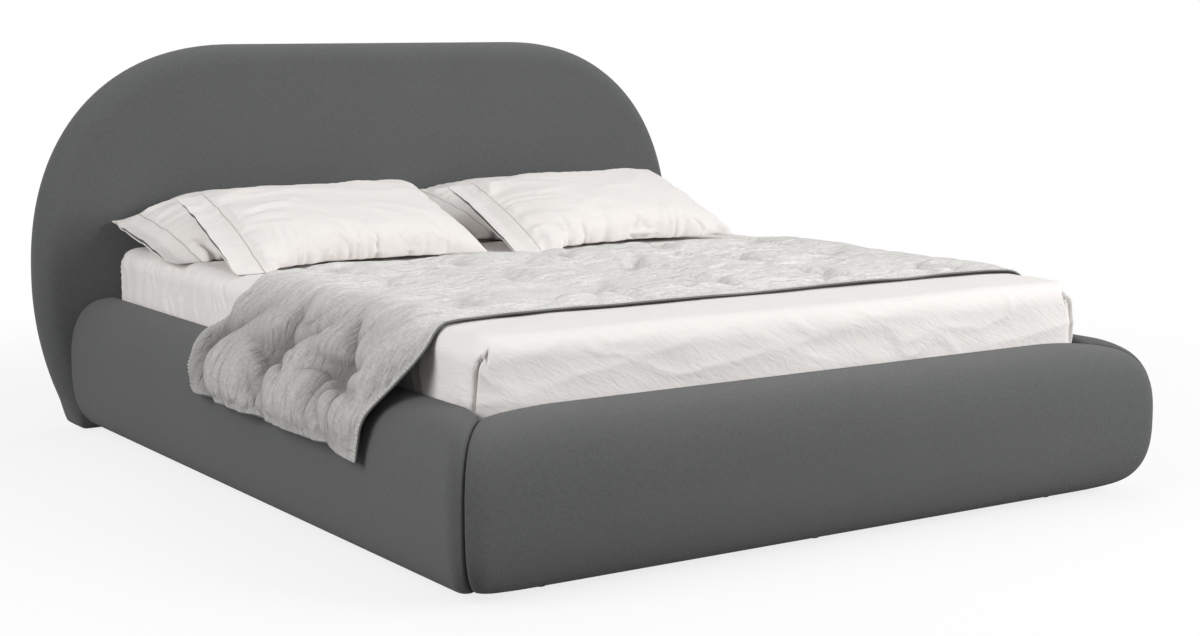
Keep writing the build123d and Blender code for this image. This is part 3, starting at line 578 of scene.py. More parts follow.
def round_corner(distance, length, total, radius, arc):
    """Distances spread out to a rail's real length, and how far round its corner they have turned."""
    d = distance[:, None]
    spread = SPREAD_FROM + (d - SPREAD_FROM) * (total - SPREAD_FROM) / (length - SPREAD_FROM)
    d = np.where(d > SPREAD_FROM, spread, d)
    return d, np.where(arc > 0, d / np.maximum(radius, 1e-9), math.pi)


def upholstered(name, points, uv, flip, slot, material, nodes, closed):
    """A padded piece of the frame from rings of points."""
    piece = grid_piece(name, points, uv, wrap=True, flip=flip, closed=closed)
    settle(piece, "frame", slot, material, *nodes)
    return piece


def rail_piece(name, points, along, flip, slot, material, nodes):
    """A rail's piece from its sections and their places along the cloth."""
    around = run_along(np.concatenate([points, points[:, :1]], axis=1), 1)
    uv = np.stack([np.broadcast_to(along[:, None], around.shape), around], axis=2)
    return upholstered(name, points, uv, flip, slot, material, nodes, (0, -1))


def side_rail(name, side, inset, material, slot, *nodes):
    """A side rail's cover, or its foam where inset, from the headboard to the corner seam."""
    settings = bpy.context.scene.bed_upholstery
    section = rail_section(SIDE_REACH, settings.rail_squareness, settings.inner_edge_radius)
    length = HEAD_FRONT - FOOT_INNER + RAIL_OVERLAP
    distance = seam_distances(length)
    out, up, share = sink(section, distance, SIDE_REACH, settings.foot_dip * 0.8, settings.side_dip_run)
    radius = settings.corner_radius * share
    arc = radius * math.pi / 4
    centre_x = HALF_OPENING + out - radius
    centre_y = FOOT_INNER - out * (FOOT_REACH / SIDE_REACH) + radius
    d, turned = round_corner(distance, length, arc + HEAD_FRONT - centre_y, radius, arc)
    turn = np.minimum(-math.pi / 4 + turned, 0)
    x = centre_x + radius * np.cos(turn)
    y = np.where(d < arc, centre_y + radius * np.sin(turn), centre_y + d - arc)
    points = np.stack([side * x, y, np.broadcast_to(up, x.shape)], axis=2)
    if inset:
        points = points - normals_of(points, wrap=True) * inset * side
    return rail_piece(name, points, distance, side < 0, slot, material, nodes)


def foot_rail(name, inset, material, slot, *nodes):
    """The foot rail's cover, or its foam where inset, from seam to seam."""
    settings = bpy.context.scene.bed_upholstery
    section = rail_section(FOOT_REACH, settings.rail_squareness, settings.inner_edge_radius)
    length = HALF_OPENING + RAIL_OVERLAP
    distance = seam_distances(length)
    out, up, share = sink(section, distance, FOOT_REACH, settings.foot_dip, settings.foot_dip_run)
    radius = settings.corner_radius * share
    arc = radius * math.pi / 4
    centre_x = HALF_OPENING + out * (SIDE_REACH / FOOT_REACH) - radius
    centre_y = FOOT_INNER - out + radius
    d, turned = round_corner(distance, length, arc + centre_x, radius, arc)
    turn = np.maximum(-math.pi / 4 - turned, -math.pi / 2)
    y = centre_y + radius * np.sin(turn)
    x = np.where(d < arc, centre_x + radius * np.cos(turn), centre_x - d + arc)
    right = np.stack([x, y, np.broadcast_to(up, x.shape)], axis=2)
    left = right[::-1] * np.array([-1, 1, 1])
    points = np.concatenate([right, left[1:]], axis=0)
    if inset:
        points = points + normals_of(points, wrap=True) * inset
    along = np.concatenate([distance, 2 * distance[-1] - distance[::-1][1:]])
    return rail_piece(name, points, along, True, slot, material, nodes)


# Headboard. Each face has rings of points at shares of the way from its middle to its hem,
# and the round edge between the faces has steps of its own.
HEADBOARD_RINGS = [1, 0.97, 0.93, 0.88, 0.8, 0.7, 0.58, 0.45, 0.3, 0.15, 0.0]
RIM_STEPS = 14
HEADBOARD_MIDDLE_ROW = len(HEADBOARD_RINGS) - 1 + RIM_STEPS // 2


def headboard_outline(settings):
    """Places round the headboard seen from the front, from its right foot over the top to its left one."""
    half_flat = settings.flat_top / 2
    half_width = HEAD_HIGH.x
    top, widest = HEAD_HIGH.z, settings.widest_height
    power = 2 / settings.shoulder_squareness
    side_centre = half_width - settings.side_radius
    places = []
    foot = settings.foot_radius
    low_angle = math.asin((widest - FLOOR_LOW - foot) / (settings.side_radius - foot))
    foot_x = side_centre + (settings.side_radius - foot) * math.cos(low_angle) + foot
    for step in range(10):
        angle = -math.pi / 2 + (math.pi / 2 - low_angle) * step / 10
        places.append((foot_x - foot + foot * math.cos(angle), FLOOR_LOW + foot + foot * math.sin(angle)))
    for step in range(24):
        angle = -low_angle * (1 - step / 24)
        x = side_centre + settings.side_radius * math.cos(angle)
        places.append((x, widest + settings.side_radius * math.sin(angle)))
    for step in range(80):
        angle = math.pi / 2 * step / 80
        out = (half_width - half_flat) * math.cos(angle) ** power
        places.append((half_flat + out, widest + (top - widest) * math.sin(angle) ** power))
    for step in range(20):
        places.append((half_flat * (1 - step / 20), top))
    places.append((0, top))
    left = [(-x, z) for x, z in places[:-1]][::-1]
    bottom_half = foot_x - foot
    bottom = [(-bottom_half + 2 * bottom_half * step / 60, FLOOR_LOW) for step in range(1, 60)]
    return np.array(places + left + bottom)


def headboard(name, inset, material, slot, *nodes, rows_used=slice(None), closed=()):
    """The headboard's cover, or its foam where inset: a slab with a round edge, standing on a flat foot."""
    settings = bpy.context.scene.bed_upholstery
    outline = headboard_outline(settings)
    outward = outward_of(outline)
    half = (HEAD_HIGH.y - HEAD_LOW.y) / 2 - inset
    middle = (HEAD_HIGH.y + HEAD_LOW.y) / 2
    above = smooth_step(outline[:, 1], FLOOR_LOW + 0.004, FLOOR_LOW + 0.09)
    radius = 0.012 + (half - 0.001 - 0.012) * above
    rows, uvs = [], []
    heart = np.array([0, (HEAD_HIGH.z + FLOOR_LOW) / 2])
    hem = outline - outward * (radius + inset)[:, None]
    for share in HEADBOARD_RINGS[:0:-1]:
        flat = heart + (hem - heart) * share
        bulge = settings.crown * smooth_step(flat[:, 1], 0.45, 0.7) * (1 - share**2)
        rows.append(np.stack([flat[:, 0], middle - half - bulge, flat[:, 1]], axis=1))
        uvs.append(flat)
    run = np.zeros(len(outline))
    last = None
    for turn in range(RIM_STEPS + 1):
        angle = -math.pi / 2 + math.pi * turn / RIM_STEPS
        flat = hem + outward * (radius * math.cos(angle))[:, None]
        depth = middle + (half - radius) * np.sign(round(math.sin(angle), 6)) + radius * math.sin(angle)
        ring = np.stack([flat[:, 0], depth, flat[:, 1]], axis=1)
        if last is not None:
            run = run + np.linalg.norm(ring - last, axis=1)
        last = ring
        rows.append(ring)
        uvs.append(hem + outward * run[:, None])
    for share in HEADBOARD_RINGS[1:]:
        flat = heart + (hem - heart) * share
        rows.append(np.stack([flat[:, 0], np.full(len(flat), middle + half), flat[:, 1]], axis=1))
        uvs.append(flat * np.array([-1, 1]))
    points, uv = np.array(rows)[rows_used], closed_round(np.array(uvs)[rows_used])
    return upholstered(name, points, uv, True, slot, material, nodes, closed)


# Mattress and sheet
def mattress_outline(half_width, half_length, middle, radius, pitch, close_at):
    """Places round a rounded rectangle, their outward directions, their distances along it and its length.

    The places lie closer together near the distances in close_at.
    """
    places = []
    for across, along, start in ((1, 1, 0), (-1, 1, 1), (-1, -1, 2), (1, -1, 3)):
        for step in range(33):
            angle = math.pi / 2 * (start + step / 32)
            x = across * (half_width - radius) + radius * math.cos(angle)
            places.append((x, middle + along * (half_length - radius) + radius * math.sin(angle)))
    places.append(places[0])
    places = np.array(places)
    run = np.concatenate([[0], np.cumsum(np.linalg.norm(np.diff(places, axis=0), axis=1))])
    stations, place = [], 0.0
    while place < run[-1] - pitch / 2:
        stations.append(place)
        gap = min([abs(place - fold) for fold in close_at] + [1.0])
        place += pitch * (0.23 + 0.77 * float(smooth_step(gap, 0.018, 0.05)))
    even = np.array(stations) * run[-1] / place
    ring = np.stack([np.interp(even, run, places[:, 0]), np.interp(even, run, places[:, 1])], axis=1)
    return ring, outward_of(ring), even, run[-1]


def foot_corner_runs():
    """How far along the mattress's outline its two foot corners begin and end, the left one first."""
    radius = bpy.context.scene.bed_bedding.sheet_corner_radius
    turn = math.pi / 2 * radius
    across = SHEET_HIGH.x - SHEET_LOW.x - 2 * radius
    lengthwise = SHEET_HIGH.y - SHEET_LOW.y - 2 * radius
    left = turn + across + turn + lengthwise
    return left, left + turn + across + turn


def mattress_block(inset, pitch, tuck, top_rings, side_rows, close_at=()):
    """Grid over a mattress, from under its edge up to the middle of its top, with its distances round.

    After them come their total and the count of rows below the flat of the top.
    """
    settings = bpy.context.scene.bed_bedding
    low, high = SHEET_LOW, SHEET_HIGH
    half_width = (high.x - low.x) / 2 - inset
    half_length = (high.y - low.y) / 2 - inset
    ring, outward, even, total = mattress_outline(
        half_width, half_length, (low.y + high.y) / 2, settings.sheet_corner_radius, pitch, close_at
    )
    bottom, top = low.z + inset, high.z - inset
    foot_radius, edge = 0.026 - inset, settings.sheet_edge_radius - inset
    profile = [(share * tuck, bottom) for share in (1, 0.7, 0.4) if tuck * share > foot_radius]
    for step in range(6):
        angle = math.pi / 2 * step / 5
        height = bottom + foot_radius - foot_radius * math.cos(angle)
        profile.append((foot_radius - foot_radius * math.sin(angle), height))
    for step in range(1, side_rows):
        profile.append((0, bottom + foot_radius + (top - edge - bottom - foot_radius) * step / side_rows))
    for step in range(11):
        angle = math.pi / 2 * step / 10
        profile.append((edge - edge * math.cos(angle), top - edge + edge * math.sin(angle)))
    levels = [(ring - outward * back, height) for back, height in profile]
    heart = np.array([0, (low.y + high.y) / 2])
    inner = ring - outward * edge
    levels += [(heart + (inner - heart) * (1 - step / top_rings), top) for step in range(1, top_rings + 1)]
    rows = [np.concatenate([flat, np.full((len(ring), 1), height)], axis=1) for flat, height in levels]
    return np.array(rows), even, total, len(profile)


def mattress(material):
    """The mattress in its ticking, under the sheet."""
    settings = bpy.context.scene.bed_bedding
    points, even = mattress_block(
        inset=settings.sheet_room, pitch=0.03, tuck=0.8, top_rings=12, side_rows=8
    )[:2]
    climb = run_along(points, 0)
    uv = closed_round(np.stack([np.broadcast_to(even, climb.shape), climb], axis=2))
    piece = grid_piece("mattress_in_ticking", points, uv, wrap=True)
    settle(piece, "mattress", "ticking", material, "mattress_ticking", "mattress_core")
    return piece


# How far round its corner the near fold lies, and how much further round the far one does
NEAR_FOLD = 0.040
FAR_FOLD = 0.040


def corner_fold(past_corner, z):
    """How far the sheet's folded corner stands out. past_corner runs from the side round to the foot."""
    edge = np.interp(z, [0.36, 0.42, 0.45, 0.464, 0.48], [0.0275, 0.030, 0.035, 0.040, 0.055])
    over = edge - past_corner
    raised = smooth_step(z, 0.35, 0.385) + smooth_step(past_corner, -0.005, 0.02)
    fade = np.exp(-np.maximum(over, 0) / 0.05)
    flap = 0.006 * fade * smooth_step(over, -0.0005, 0.0015) * np.minimum(raised, 1)
    groove = -0.014 * np.exp(-(((over + 0.0025) / 0.0028) ** 2))
    hook = -0.008 * np.exp(-(((past_corner - 0.0565) / 0.0028) ** 2)) * smooth_step(z, 0.455, 0.466)
    near = (past_corner > -0.3) & (past_corner < 0.12)
    return np.where(near, (flap + groove + hook) * (1 - smooth_step(z, 0.476, 0.486)), 0)


def fitted_sheet(material):
    """Sheet drawn over the mattress, with folds down its sides and a folded corner."""
    left, right = foot_corner_runs()
    close_at = (left + NEAR_FOLD, right - NEAR_FOLD - FAR_FOLD)
    points, even, total, side_count = mattress_block(
        inset=0, pitch=0.0075, tuck=0.13, top_rings=44, side_rows=34, close_at=close_at
    )
    normal = normals_of(points, wrap=True)
    climb = run_along(points, 0)
    x, y, z = points[:, :, 0], points[:, :, 1], points[:, :, 2]
    run = np.broadcast_to(even, x.shape)
    top_share = smooth_step(z, SHEET_HIGH.z - 0.02, SHEET_HIGH.z - 0.001)
    on_foot = smooth_step(-y, -FOOT_INNER - 0.09, -FOOT_INNER - 0.03)
    wander = 0.8 * soft_noise(run / 0.09, z / 0.07, 5)
    upright = ridges(run / 0.032 + wander, z / 0.22, 11) + 0.6 * soft_noise(run / 0.07, z / 0.2, 12)
    slanted = ridges(run / 0.2 + z / 0.06 + wander, z / 0.08 - run / 0.5, 21)
    slanted = slanted + 0.5 * soft_noise(run / 0.1, z / 0.06, 22)
    folds = (1 - on_foot) * 0.0055 * upright + on_foot * 0.0038 * slanted
    waves = 0.0026 * ridges(x / 0.33 + y / 0.7, y / 0.19 - x / 0.6, 31)
    waves = waves + 0.001 * soft_noise(x / 0.1, y / 0.08, 32)
    lift = folds * (1 - top_share) + waves * top_share
    lift = lift + corner_fold(run - left, z) + corner_fold(right - run - FAR_FOLD, z)
    # It stays clear of the headboard and, below their tops, of the rails
    at_head = smooth_step(y, SHEET_HIGH.y - 0.03, SHEET_HIGH.y - 0.005)
    lift = lift * (0.2 + 0.8 * smooth_step(z, RAIL_HIGH.z - 0.025, RAIL_HIGH.z + 0.012))
    lift = lift * smooth_step(z, SHEET_LOW.z + 0.02, SHEET_LOW.z + 0.06) * (1 - at_head)
    points = points + normal * lift[:, :, None]
    uv = np.stack([np.broadcast_to(even, x.shape), climb], axis=2)
    flat = np.stack([x, y], axis=2)
    uv[side_count:] = flat[side_count:]
    uv = closed_round(uv)
    uv[:side_count, -1, 0] = total
    piece = grid_piece("fitted_sheet", points, uv, wrap=True)
    solid = piece.modifiers.new("cloth thickness", "SOLIDIFY")
    solid.thickness, solid.offset = 0.0012, -1
    settle(piece, "mattress", "sheet_cotton", material, "bed_sheet")
    return piece


# Quilt
def side_profile(settings):
    """Half of the quilt's under face seen from the foot: distance, outward place, height and fall."""
    slope, fall = math.radians(51.5), math.radians(83)
    reach = HALF_OPENING + 0.130
    edge, curve = 0.052, 0.060
    start = SHEET_HIGH.x - settings.sheet_edge_radius
    run = edge * math.sin(slope) + curve * (math.sin(fall) - math.sin(slope))
    length = (reach - start - run) / math.cos(slope)
    spans = [
        (start, 0), (edge * slope, 1 / edge), (length, 0), (curve * (fall - slope), 1 / curve), (0.2, 0)
    ]
    distance, x, z, angle = 0, 0, SHEET_HIGH.z + 0.0006, 0
    places = [(distance, x, z, angle)]
    for span, bend in spans:
        steps = max(int(span / 0.003), 2)
        for _ in range(steps):
            step = span / steps
            angle += bend * step / 2
            x += step * math.cos(angle)
            z -= step * math.sin(angle)
            angle += bend * step / 2
            distance += step
            places.append((distance, x, z, angle))
    return np.array(places)


# Where the quilt's edges lie along the bed, from its left hem to its right one
HEAD_EDGE = [
    (-1.115, 0.118), (-1.085, 0.134), (-1.048, 0.160), (-1.01, 0.174), (-0.985, 0.174), (-0.96, 0.150),
    (-0.925, 0.103), (-0.881, 0.087), (-0.831, 0.097), (-0.76, 0.150), (-0.68, 0.190), (-0.60, 0.204),
    (-0.42, 0.207), (-0.135, 0.196), (0.20, 0.186), (0.45, 0.196), (0.67, 0.208), (0.76, 0.190),
    (0.84, 0.150), (0.92, 0.135), (1.0, 0.160), (1.115, 0.150),
]
FOOT_EDGE = [
    (-1.13, -0.742), (-1.09, -0.742), (-1.048, -0.750), (-1.022, -0.752), (-0.97, -0.780), (-0.908, -0.801),
    (
        -0.866, -0.803
    ), (-0.825, -0.790), (-0.756, -0.752), (-0.642, -0.739), (-0.434, -0.740), (-0.242, -0.746),
    (-0.04, -0.751), (0.171, -0.749), (0.39, -0.744), (0.55, -0.750), (0.66, -0.753), (0.74, -0.758),
    (0.82, -0.780), (0.92, -0.790), (1.0, -0.795), (1.115, -0.800),
]


def smooth_curve(stations, at):
    """A smooth line through stations, read at the places given."""
    stations = np.array(stations)
    fine = np.linspace(stations[0, 0], stations[-1, 0], 900)
    line = np.interp(fine, stations[:, 0], stations[:, 1])
    width = 21
    kernel = np.hanning(width + 2)[1:-1]
    kernel /= kernel.sum()
    line = np.convolve(np.pad(line, width // 2, mode="edge"), kernel, mode="valid")
    return np.interp(at, fine, line)


def quilt_faces(settings):
    """Under and upper face of the quilt as grids from hem to hem, with places on the flat cloth."""
    profile = side_profile(settings)
    columns, rows = 300, 140
    hem = 1.112
    across = np.linspace(-hem, hem, columns)[None, :]
    share = np.linspace(0, 1, rows)[:, None]
    head = smooth_curve(HEAD_EDGE, across)
    foot = smooth_curve(FOOT_EDGE, across)
    y = head + (foot - head) * share
    across = across + np.zeros_like(y)
    side = np.sign(across) + (across == 0)
    # The hem hangs lowest at its foot corner on the near side
    drop = 0.022 * smooth_step(share, 0.86, 1.0) * smooth_step(-across, 0.95, 1.1)
    distance = np.abs(across) + drop
    x = np.interp(distance, profile[:, 0], profile[:, 1])
    z = np.interp(distance, profile[:, 0], profile[:, 2])
    angle = np.interp(distance, profile[:, 0], profile[:, 3])
    normal = np.stack([side * np.sin(angle), np.zeros_like(y), np.cos(angle)], axis=2)
    points = np.stack([side * x, y, z], axis=2)
    creases = flap_creases(across, y) * star_creases(across, y, settings)
    # The front pillows press its head end flat
    pillow_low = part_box("pillowcase_front_left")[0]
    at_head = smooth_step(y, pillow_low.y - 0.03, pillow_low.y + 0.025)
    free = 1 - 0.95 * at_head * (1 - smooth_step(np.abs(across), 0.74, 0.86))
    # The cloth billows between its creases, most where it hangs
    hang = smooth_step(distance, 0.78, 0.93) * (1 - 0.35 * smooth_step(distance, 1.04, 1.12))
    # It lies flatter towards its right side
    loft = 1 - 0.6 * smooth_step(across, 0.2, 0.7) * (1 - 0.5 * smooth_step(across, 0.9, 1.0))
    border = smooth_step(np.minimum(head - y, y - foot), 0.0, 0.085)
    billow = hang * settings.billow * (0.18 + 0.82 * border) * creases
    billow = billow + 0.004 * hang * (1 + soft_noise(y / 0.06, distance / 0.2, 41))
    waves = 0.006 * (1 + soft_noise(across / 0.19 + y / 0.5, y / 0.12, 42)) * (1 - hang)
    swing = 0.07 * soft_noise(across / 0.19, y / 0.21, 44)
    swing = swing + 0.25 * across * soft_noise(y / 0.3, 0.5, 45) * hang
    crinkles = 0.005 * ridges((y + swing) / 0.021, across / 0.12, 46)
    crinkles = crinkles + 0.004 * ridges((y - swing) / 0.05, across / 0.08, 47)
    crinkles = crinkles * (0.65 + 0.35 * hang)
    lifted = 0.003 * (1 + soft_noise(across / 0.12, 0.5, 43))
    lifted = lifted * (1 - smooth_step(y - foot, 0, 0.05)) * (1 - hang)
    rise = (billow + (waves + crinkles) * border * free) * loft + lifted * free
    points = points + normal * rise[:, :, None]
    uv = np.stack([across, y], axis=2)
    puff = settings.quilt_puff * creases * (0.25 + 0.75 * border) * free * loft
    # Painted shade: how far the colour is darkened, in the creases and most where the cloth hangs
    painted_shade = (1 - creases) * (0.4 + 0.6 * hang) + 0.9 * smooth_step(distance, 0.74, 0.9)
    return points, -normals_of(points), uv, across, y, puff, painted_shade


# Creases of the flap that hangs on the left: width, share of the depth and, from its deepest end,
# stations on the flat quilt
FLAP_CREASES = (
    (
        0.034, 1.0,
        [(-1.115, -0.02), (-1.07, 0.025), (-1.015, 0.04), (-0.955, -0.035), (-0.89, -0.115), (-0.80, -0.15)],
    ),
    (0.022, 0.5, [(-0.99, 0.087), (-0.97, 0.02), (-0.94, -0.03)]),
    (0.026, 0.9, [(-0.973, -0.276), (-0.97, -0.23), (-0.958, -0.10)]),
    (0.028, 1.0, [(-0.973, -0.276), (-0.90, -0.277), (-0.835, -0.256), (-0.76, -0.20)]),
    (0.024, 0.95, [(-0.973, -0.276), (-1.0, -0.253), (-1.03, -0.267), (-1.06, -0.32), (-1.12, -0.40)]),
    (0.018, 0.6, [(-1.12, -0.33), (-1.077, -0.266), (-1.05, -0.227), (-1.02, -0.20)]),
    (0.024, 0.8, [(-0.973, -0.276), (-0.94, -0.36), (-0.877, -0.447), (-0.79, -0.48)]),
    (0.026, 0.9, [(-0.966, -0.606), (-0.963, -0.54), (-0.955, -0.44)]),
    (0.026, 1.0, [(-0.966, -0.606), (-0.935, -0.595), (-0.85, -0.525), (-0.76, -0.42)]),
    (0.022, 0.95, [(-0.966, -0.606), (-0.99, -0.55), (-1.03, -0.544), (-1.065, -0.553), (-1.12, -0.585)]),
    (0.018, 0.7, [(-0.966, -0.606), (-0.986, -0.623), (-1.03, -0.65), (-1.12, -0.68)]),
    (0.016, 0.6, [(-1.12, -0.65), (-1.056, -0.596), (-1.02, -0.545)]),
    (0.022, 0.5, [(-0.89, -0.34), (-0.855, -0.366), (-0.796, -0.414), (-0.68, -0.40)]),
)


def gap_to_line(a, b, line):
    """Distance of the places a, b from a line of stations, and the share of the way along it."""
    best, along = np.full(a.shape, 9.0), np.zeros(a.shape)
    for number, (start, end) in enumerate(zip(line, line[1:])):
        run, rise = end[0] - start[0], end[1] - start[1]
        part = np.clip(((a - start[0]) * run + (b - start[1]) * rise) / (run**2 + rise**2), 0, 1)
        gap = np.hypot(a - start[0] - part * run, b - start[1] - part * rise)
        along = np.where(gap < best, (number + part) / (len(line) - 1), along)
        best = np.minimum(best, gap)
    return best, along


def creased(a, b, line, width, depth):
    """Share of the cloth's billow that a crease leaves, fading towards its end."""
    gap, along = gap_to_line(a, b, line)
    return 1 - depth * (1 - along**2) * np.exp(-((gap / width) ** 1.5))


def flap_creases(across, y):
    """Share of the billow that the flap's creases leave. The right side mirrors the left one."""
    left = -np.abs(across)
    total = np.ones_like(y)
    for width, depth, line in FLAP_CREASES:
        total = total * creased(left, y, line, width, depth)
    return total


def star_creases(across, y, settings):
    """Share of the puff that the creases round each tuft leave."""
    chance = np.random.default_rng(17)
    total = np.ones_like(y)
    for tuft_x, tuft_y in tuft_places(settings):
        start = chance.uniform(0, math.tau)
        arms = int(chance.integers(5, 8))
        for arm in range(arms):
            turn = start + math.tau * arm / arms + chance.uniform(-0.3, 0.3)
            reach = chance.uniform(0.07, 0.17)
            bend = chance.uniform(-0.6, 0.6)
            line = [(tuft_x, tuft_y)]
            for step in (0.35, 0.7, 1.0):
                heading = turn + bend * step
                along, over = reach * step * math.cos(heading), reach * step * math.sin(heading)
                line.append((tuft_x + along, tuft_y + over))
            total = total * creased(across, y, line, chance.uniform(0.014, 0.023), chance.uniform(0.6, 0.95))
    return total


def tuft_places(settings):
    """Tufts on the flat cloth, in rows across the bed."""
    pitch = settings.tuft_pitch
    return [(column * pitch, row) for row in (-0.609, -0.277, 0.055) for column in range(-3, 4)]


def blown_up(piece, frames, pressure, slack, cap, held, stiffness=6, bend=0.15, inflated=()):
    """Fill a piece with air by a cloth simulation and keep its shape, no point moving further than cap."""
    before = points_of(piece)
    cloth = piece.modifiers.new("filling", "CLOTH")
    behaviour = {
        "quality": 5,
        "mass": 0.25,
        "tension_stiffness": stiffness,
        "compression_stiffness": stiffness,
        "shear_stiffness": stiffness / 2,
        "bending_stiffness": bend,
        "air_damping": 2,
        "use_pressure": True,
        "uniform_pressure_force": pressure,
        "shrink_min": -slack,
    }
    for key, value in behaviour.items():
        setattr(cloth.settings, key, value)
    cloth.settings.effector_weights.gravity = 0
    cloth.collision_settings.use_collision = False
    for name, weights, use in (
        ("held", held, "vertex_group_mass"), ("inflated", inflated, "vertex_group_pressure")
    ):
        if not weights:
            continue
        group = piece.vertex_groups.new(name=name)
        for index, weight in weights:
            group.add([int(index)], float(weight), "REPLACE")
        setattr(cloth.settings, use, group.name)
    cloth.point_cache.frame_start, cloth.point_cache.frame_end = 1, frames
    scene = bpy.context.scene
    for frame_number in range(1, frames + 1):
        scene.frame_set(frame_number)
    shaped = piece.evaluated_get(bpy.context.evaluated_depsgraph_get())
    after = np.array([v.co for v in shaped.data.vertices])
    piece.modifiers.remove(cloth)
    scene.frame_set(1)
    moved = after - before
    size = np.linalg.norm(moved, axis=1, keepdims=True)
    move_points(piece, before + moved * np.minimum(1, cap / np.maximum(size, 1e-9)))
    piece.vertex_groups.clear()


def quilt(material, backing, edge_shadow, thread):
    """Padded quilt: an upper face puffed up between its tufts over a flat under face."""
    settings = bpy.context.scene.bed_bedding
    under, normal, uv, across, y, puff, painted_shade = quilt_faces(settings)
    rows, columns = under.shape[:2]
    rim = np.minimum(rows_from(rows)[:, None], rows_from(columns)[None, :])
    near_tuft = np.full(y.shape, 9.0)
    for tuft_x, tuft_y in tuft_places(settings):
        near_tuft = np.minimum(near_tuft, np.hypot(across - tuft_x, y - tuft_y))
    thin = settings.quilt_edge * (0.55 + 0.45 * (1 - smooth_step(rim, 0, 3)))
    rise = thin + puff * smooth_step(near_tuft, 0.0, 0.05) * smooth_step(rim, 0, 4)
    over = under + normal * rise[:, :, None]
    top = grid_piece("quilt_puff", over, uv, flip=True)
    held = []
    for index, (edge, gap) in enumerate(zip(rim.ravel(), near_tuft.ravel())):
        weight = max(1 - edge / 2.5, 1 - gap / 0.014, 0)
        if weight > 0:
            held.append((index, min(weight, 1)))
    blown_up(top, frames=8, pressure=0.3, slack=0.04, cap=0.004, held=held)
    raised = points_of(top).reshape(rows, columns, 3)
    bpy.data.objects.remove(top)
    over_faces, over_corners = grid_faces(rows, columns, flip=True)
    under_faces, under_corners = grid_faces(rows, columns, first=rows * columns)
    loop = (
        [(0, c) for c in range(columns)]
        + [(r, columns - 1) for r in range(1, rows)]
        + [(rows - 1, c) for c in range(columns - 2, -1, -1)]
        + [(r, 0) for r in range(rows - 2, 0, -1)]
    )
    # The edge is rolled: a ring between the two faces stands out a little
    inner = [(min(max(r, 1), rows - 2), min(max(c, 1), columns - 2)) for r, c in loop]
    upper = np.array([raised[place] for place in loop])
    lower = np.array([under[place] for place in loop])
    outward = lower - np.array([under[place] for place in inner])
    outward /= np.linalg.norm(outward, axis=1, keepdims=True)
    roll = (upper + lower) / 2 + outward * settings.quilt_edge * 0.4
    first = 2 * rows * columns
    rim_faces, rim_corners = [], []
    for number, ((r, c), (s, d)) in enumerate(zip(loop, loop[1:] + loop[:1])):
        a, b, m, n = r * columns + c, s * columns + d, first + number, first + (number + 1) % len(loop)
        rim_faces.append([a, b, n, m])
        rim_faces.append([m, n, rows * columns + b, rows * columns + a])
        rim_corners.extend([(r, c), (s, d), (s, d), (r, c)] * 2)
    points = np.concatenate([raised.reshape(-1, 3), under.reshape(-1, 3), roll])
    corners = over_corners + under_corners + rim_corners
    piece = mesh_piece(
        "quilt_throw", points, over_faces + under_faces + rim_faces, [uv[i, j] for i, j in corners]
    )
    # Painted shade on the upper and under faces, none on the rolled edge
    shade_layer = piece.data.attributes.new("painted_shade", "FLOAT", "POINT")
    shade_layer.data.foreach_set("value", np.concatenate([painted_shade.ravel(), painted_shade.ravel(), np.zeros(len(roll))]))
    soften(piece)
    settle(piece, "quilt", "quilt_cloth", material, "quilt")
    # The backing goes on the under face and the upper half of the rolled edge; the lower half gets a
    # near-black painted shadow
    piece.data.materials.append(backing)
    piece.data.materials.append(edge_shadow)
    below = [0] * len(over_faces) + [1] * len(under_faces) + [1, 2] * len(loop)
    piece.data.polygons.foreach_set("material_index", below)
    whip_stitches("quilt_edge_stitches", raised, normal, settings, thread)
    return piece


def whip_stitches(name, raised, normal, settings, material):
    """Slanted stitches over the quilt's edges at its head and its foot."""
    points, faces = [], []
    sides, bends = 5, 6
    for edge, inner in ((0, 1), (-1, -2)):
        line = raised[edge]
        inward = raised[inner] - line
        inward /= np.linalg.norm(inward, axis=1, keepdims=True)
        run = np.concatenate([[0], np.cumsum(np.linalg.norm(np.diff(line, axis=0), axis=1))])
        for place in np.arange(settings.stitch_pitch, run[-1], settings.stitch_pitch):
            at = [np.interp(place, run, line[:, k]) for k in range(3)]
            into = np.array([np.interp(place, run, inward[:, k]) for k in range(3)])
            up = np.array([np.interp(place, run, normal[edge][:, k]) for k in range(3)])
            along = np.cross(up, into)
            first = len(points)
            for bend in range(bends + 1):
                share = bend / bends
                turn = math.pi * 0.85 * (share - 0.35)
                reach = settings.stitch_reach
                middle = np.array(at) + into * (reach * 0.5) - up * 0.0025
                spot = middle + into * reach * math.cos(turn + 0.5) + up * 0.0042 * math.sin(turn + 0.9)
                spot = spot + along * settings.stitch_pitch * 0.35 * (share - 0.5)
                thick = settings.stitch_thickness / 2 * math.sin(math.pi * (0.12 + 0.76 * share))
                for side in range(sides):
                    angle = math.tau * side / sides
                    points.append(spot + thick * (along * math.cos(angle) + up * math.sin(angle)))
            for bend in range(bends):
                for side in range(sides):
                    a, b = first + bend * sides + side, first + bend * sides + (side + 1) % sides
                    faces.append([a, b, b + sides, a + sides])
    piece = mesh_piece(name, points, faces)
    return settle(piece, "quilt", "quilt_cloth", material)


# Pillows
PILLOW_HEIGHT = 0.47
PILLOW_COLUMN, PILLOW_ROW = 0.0068, 0.0078


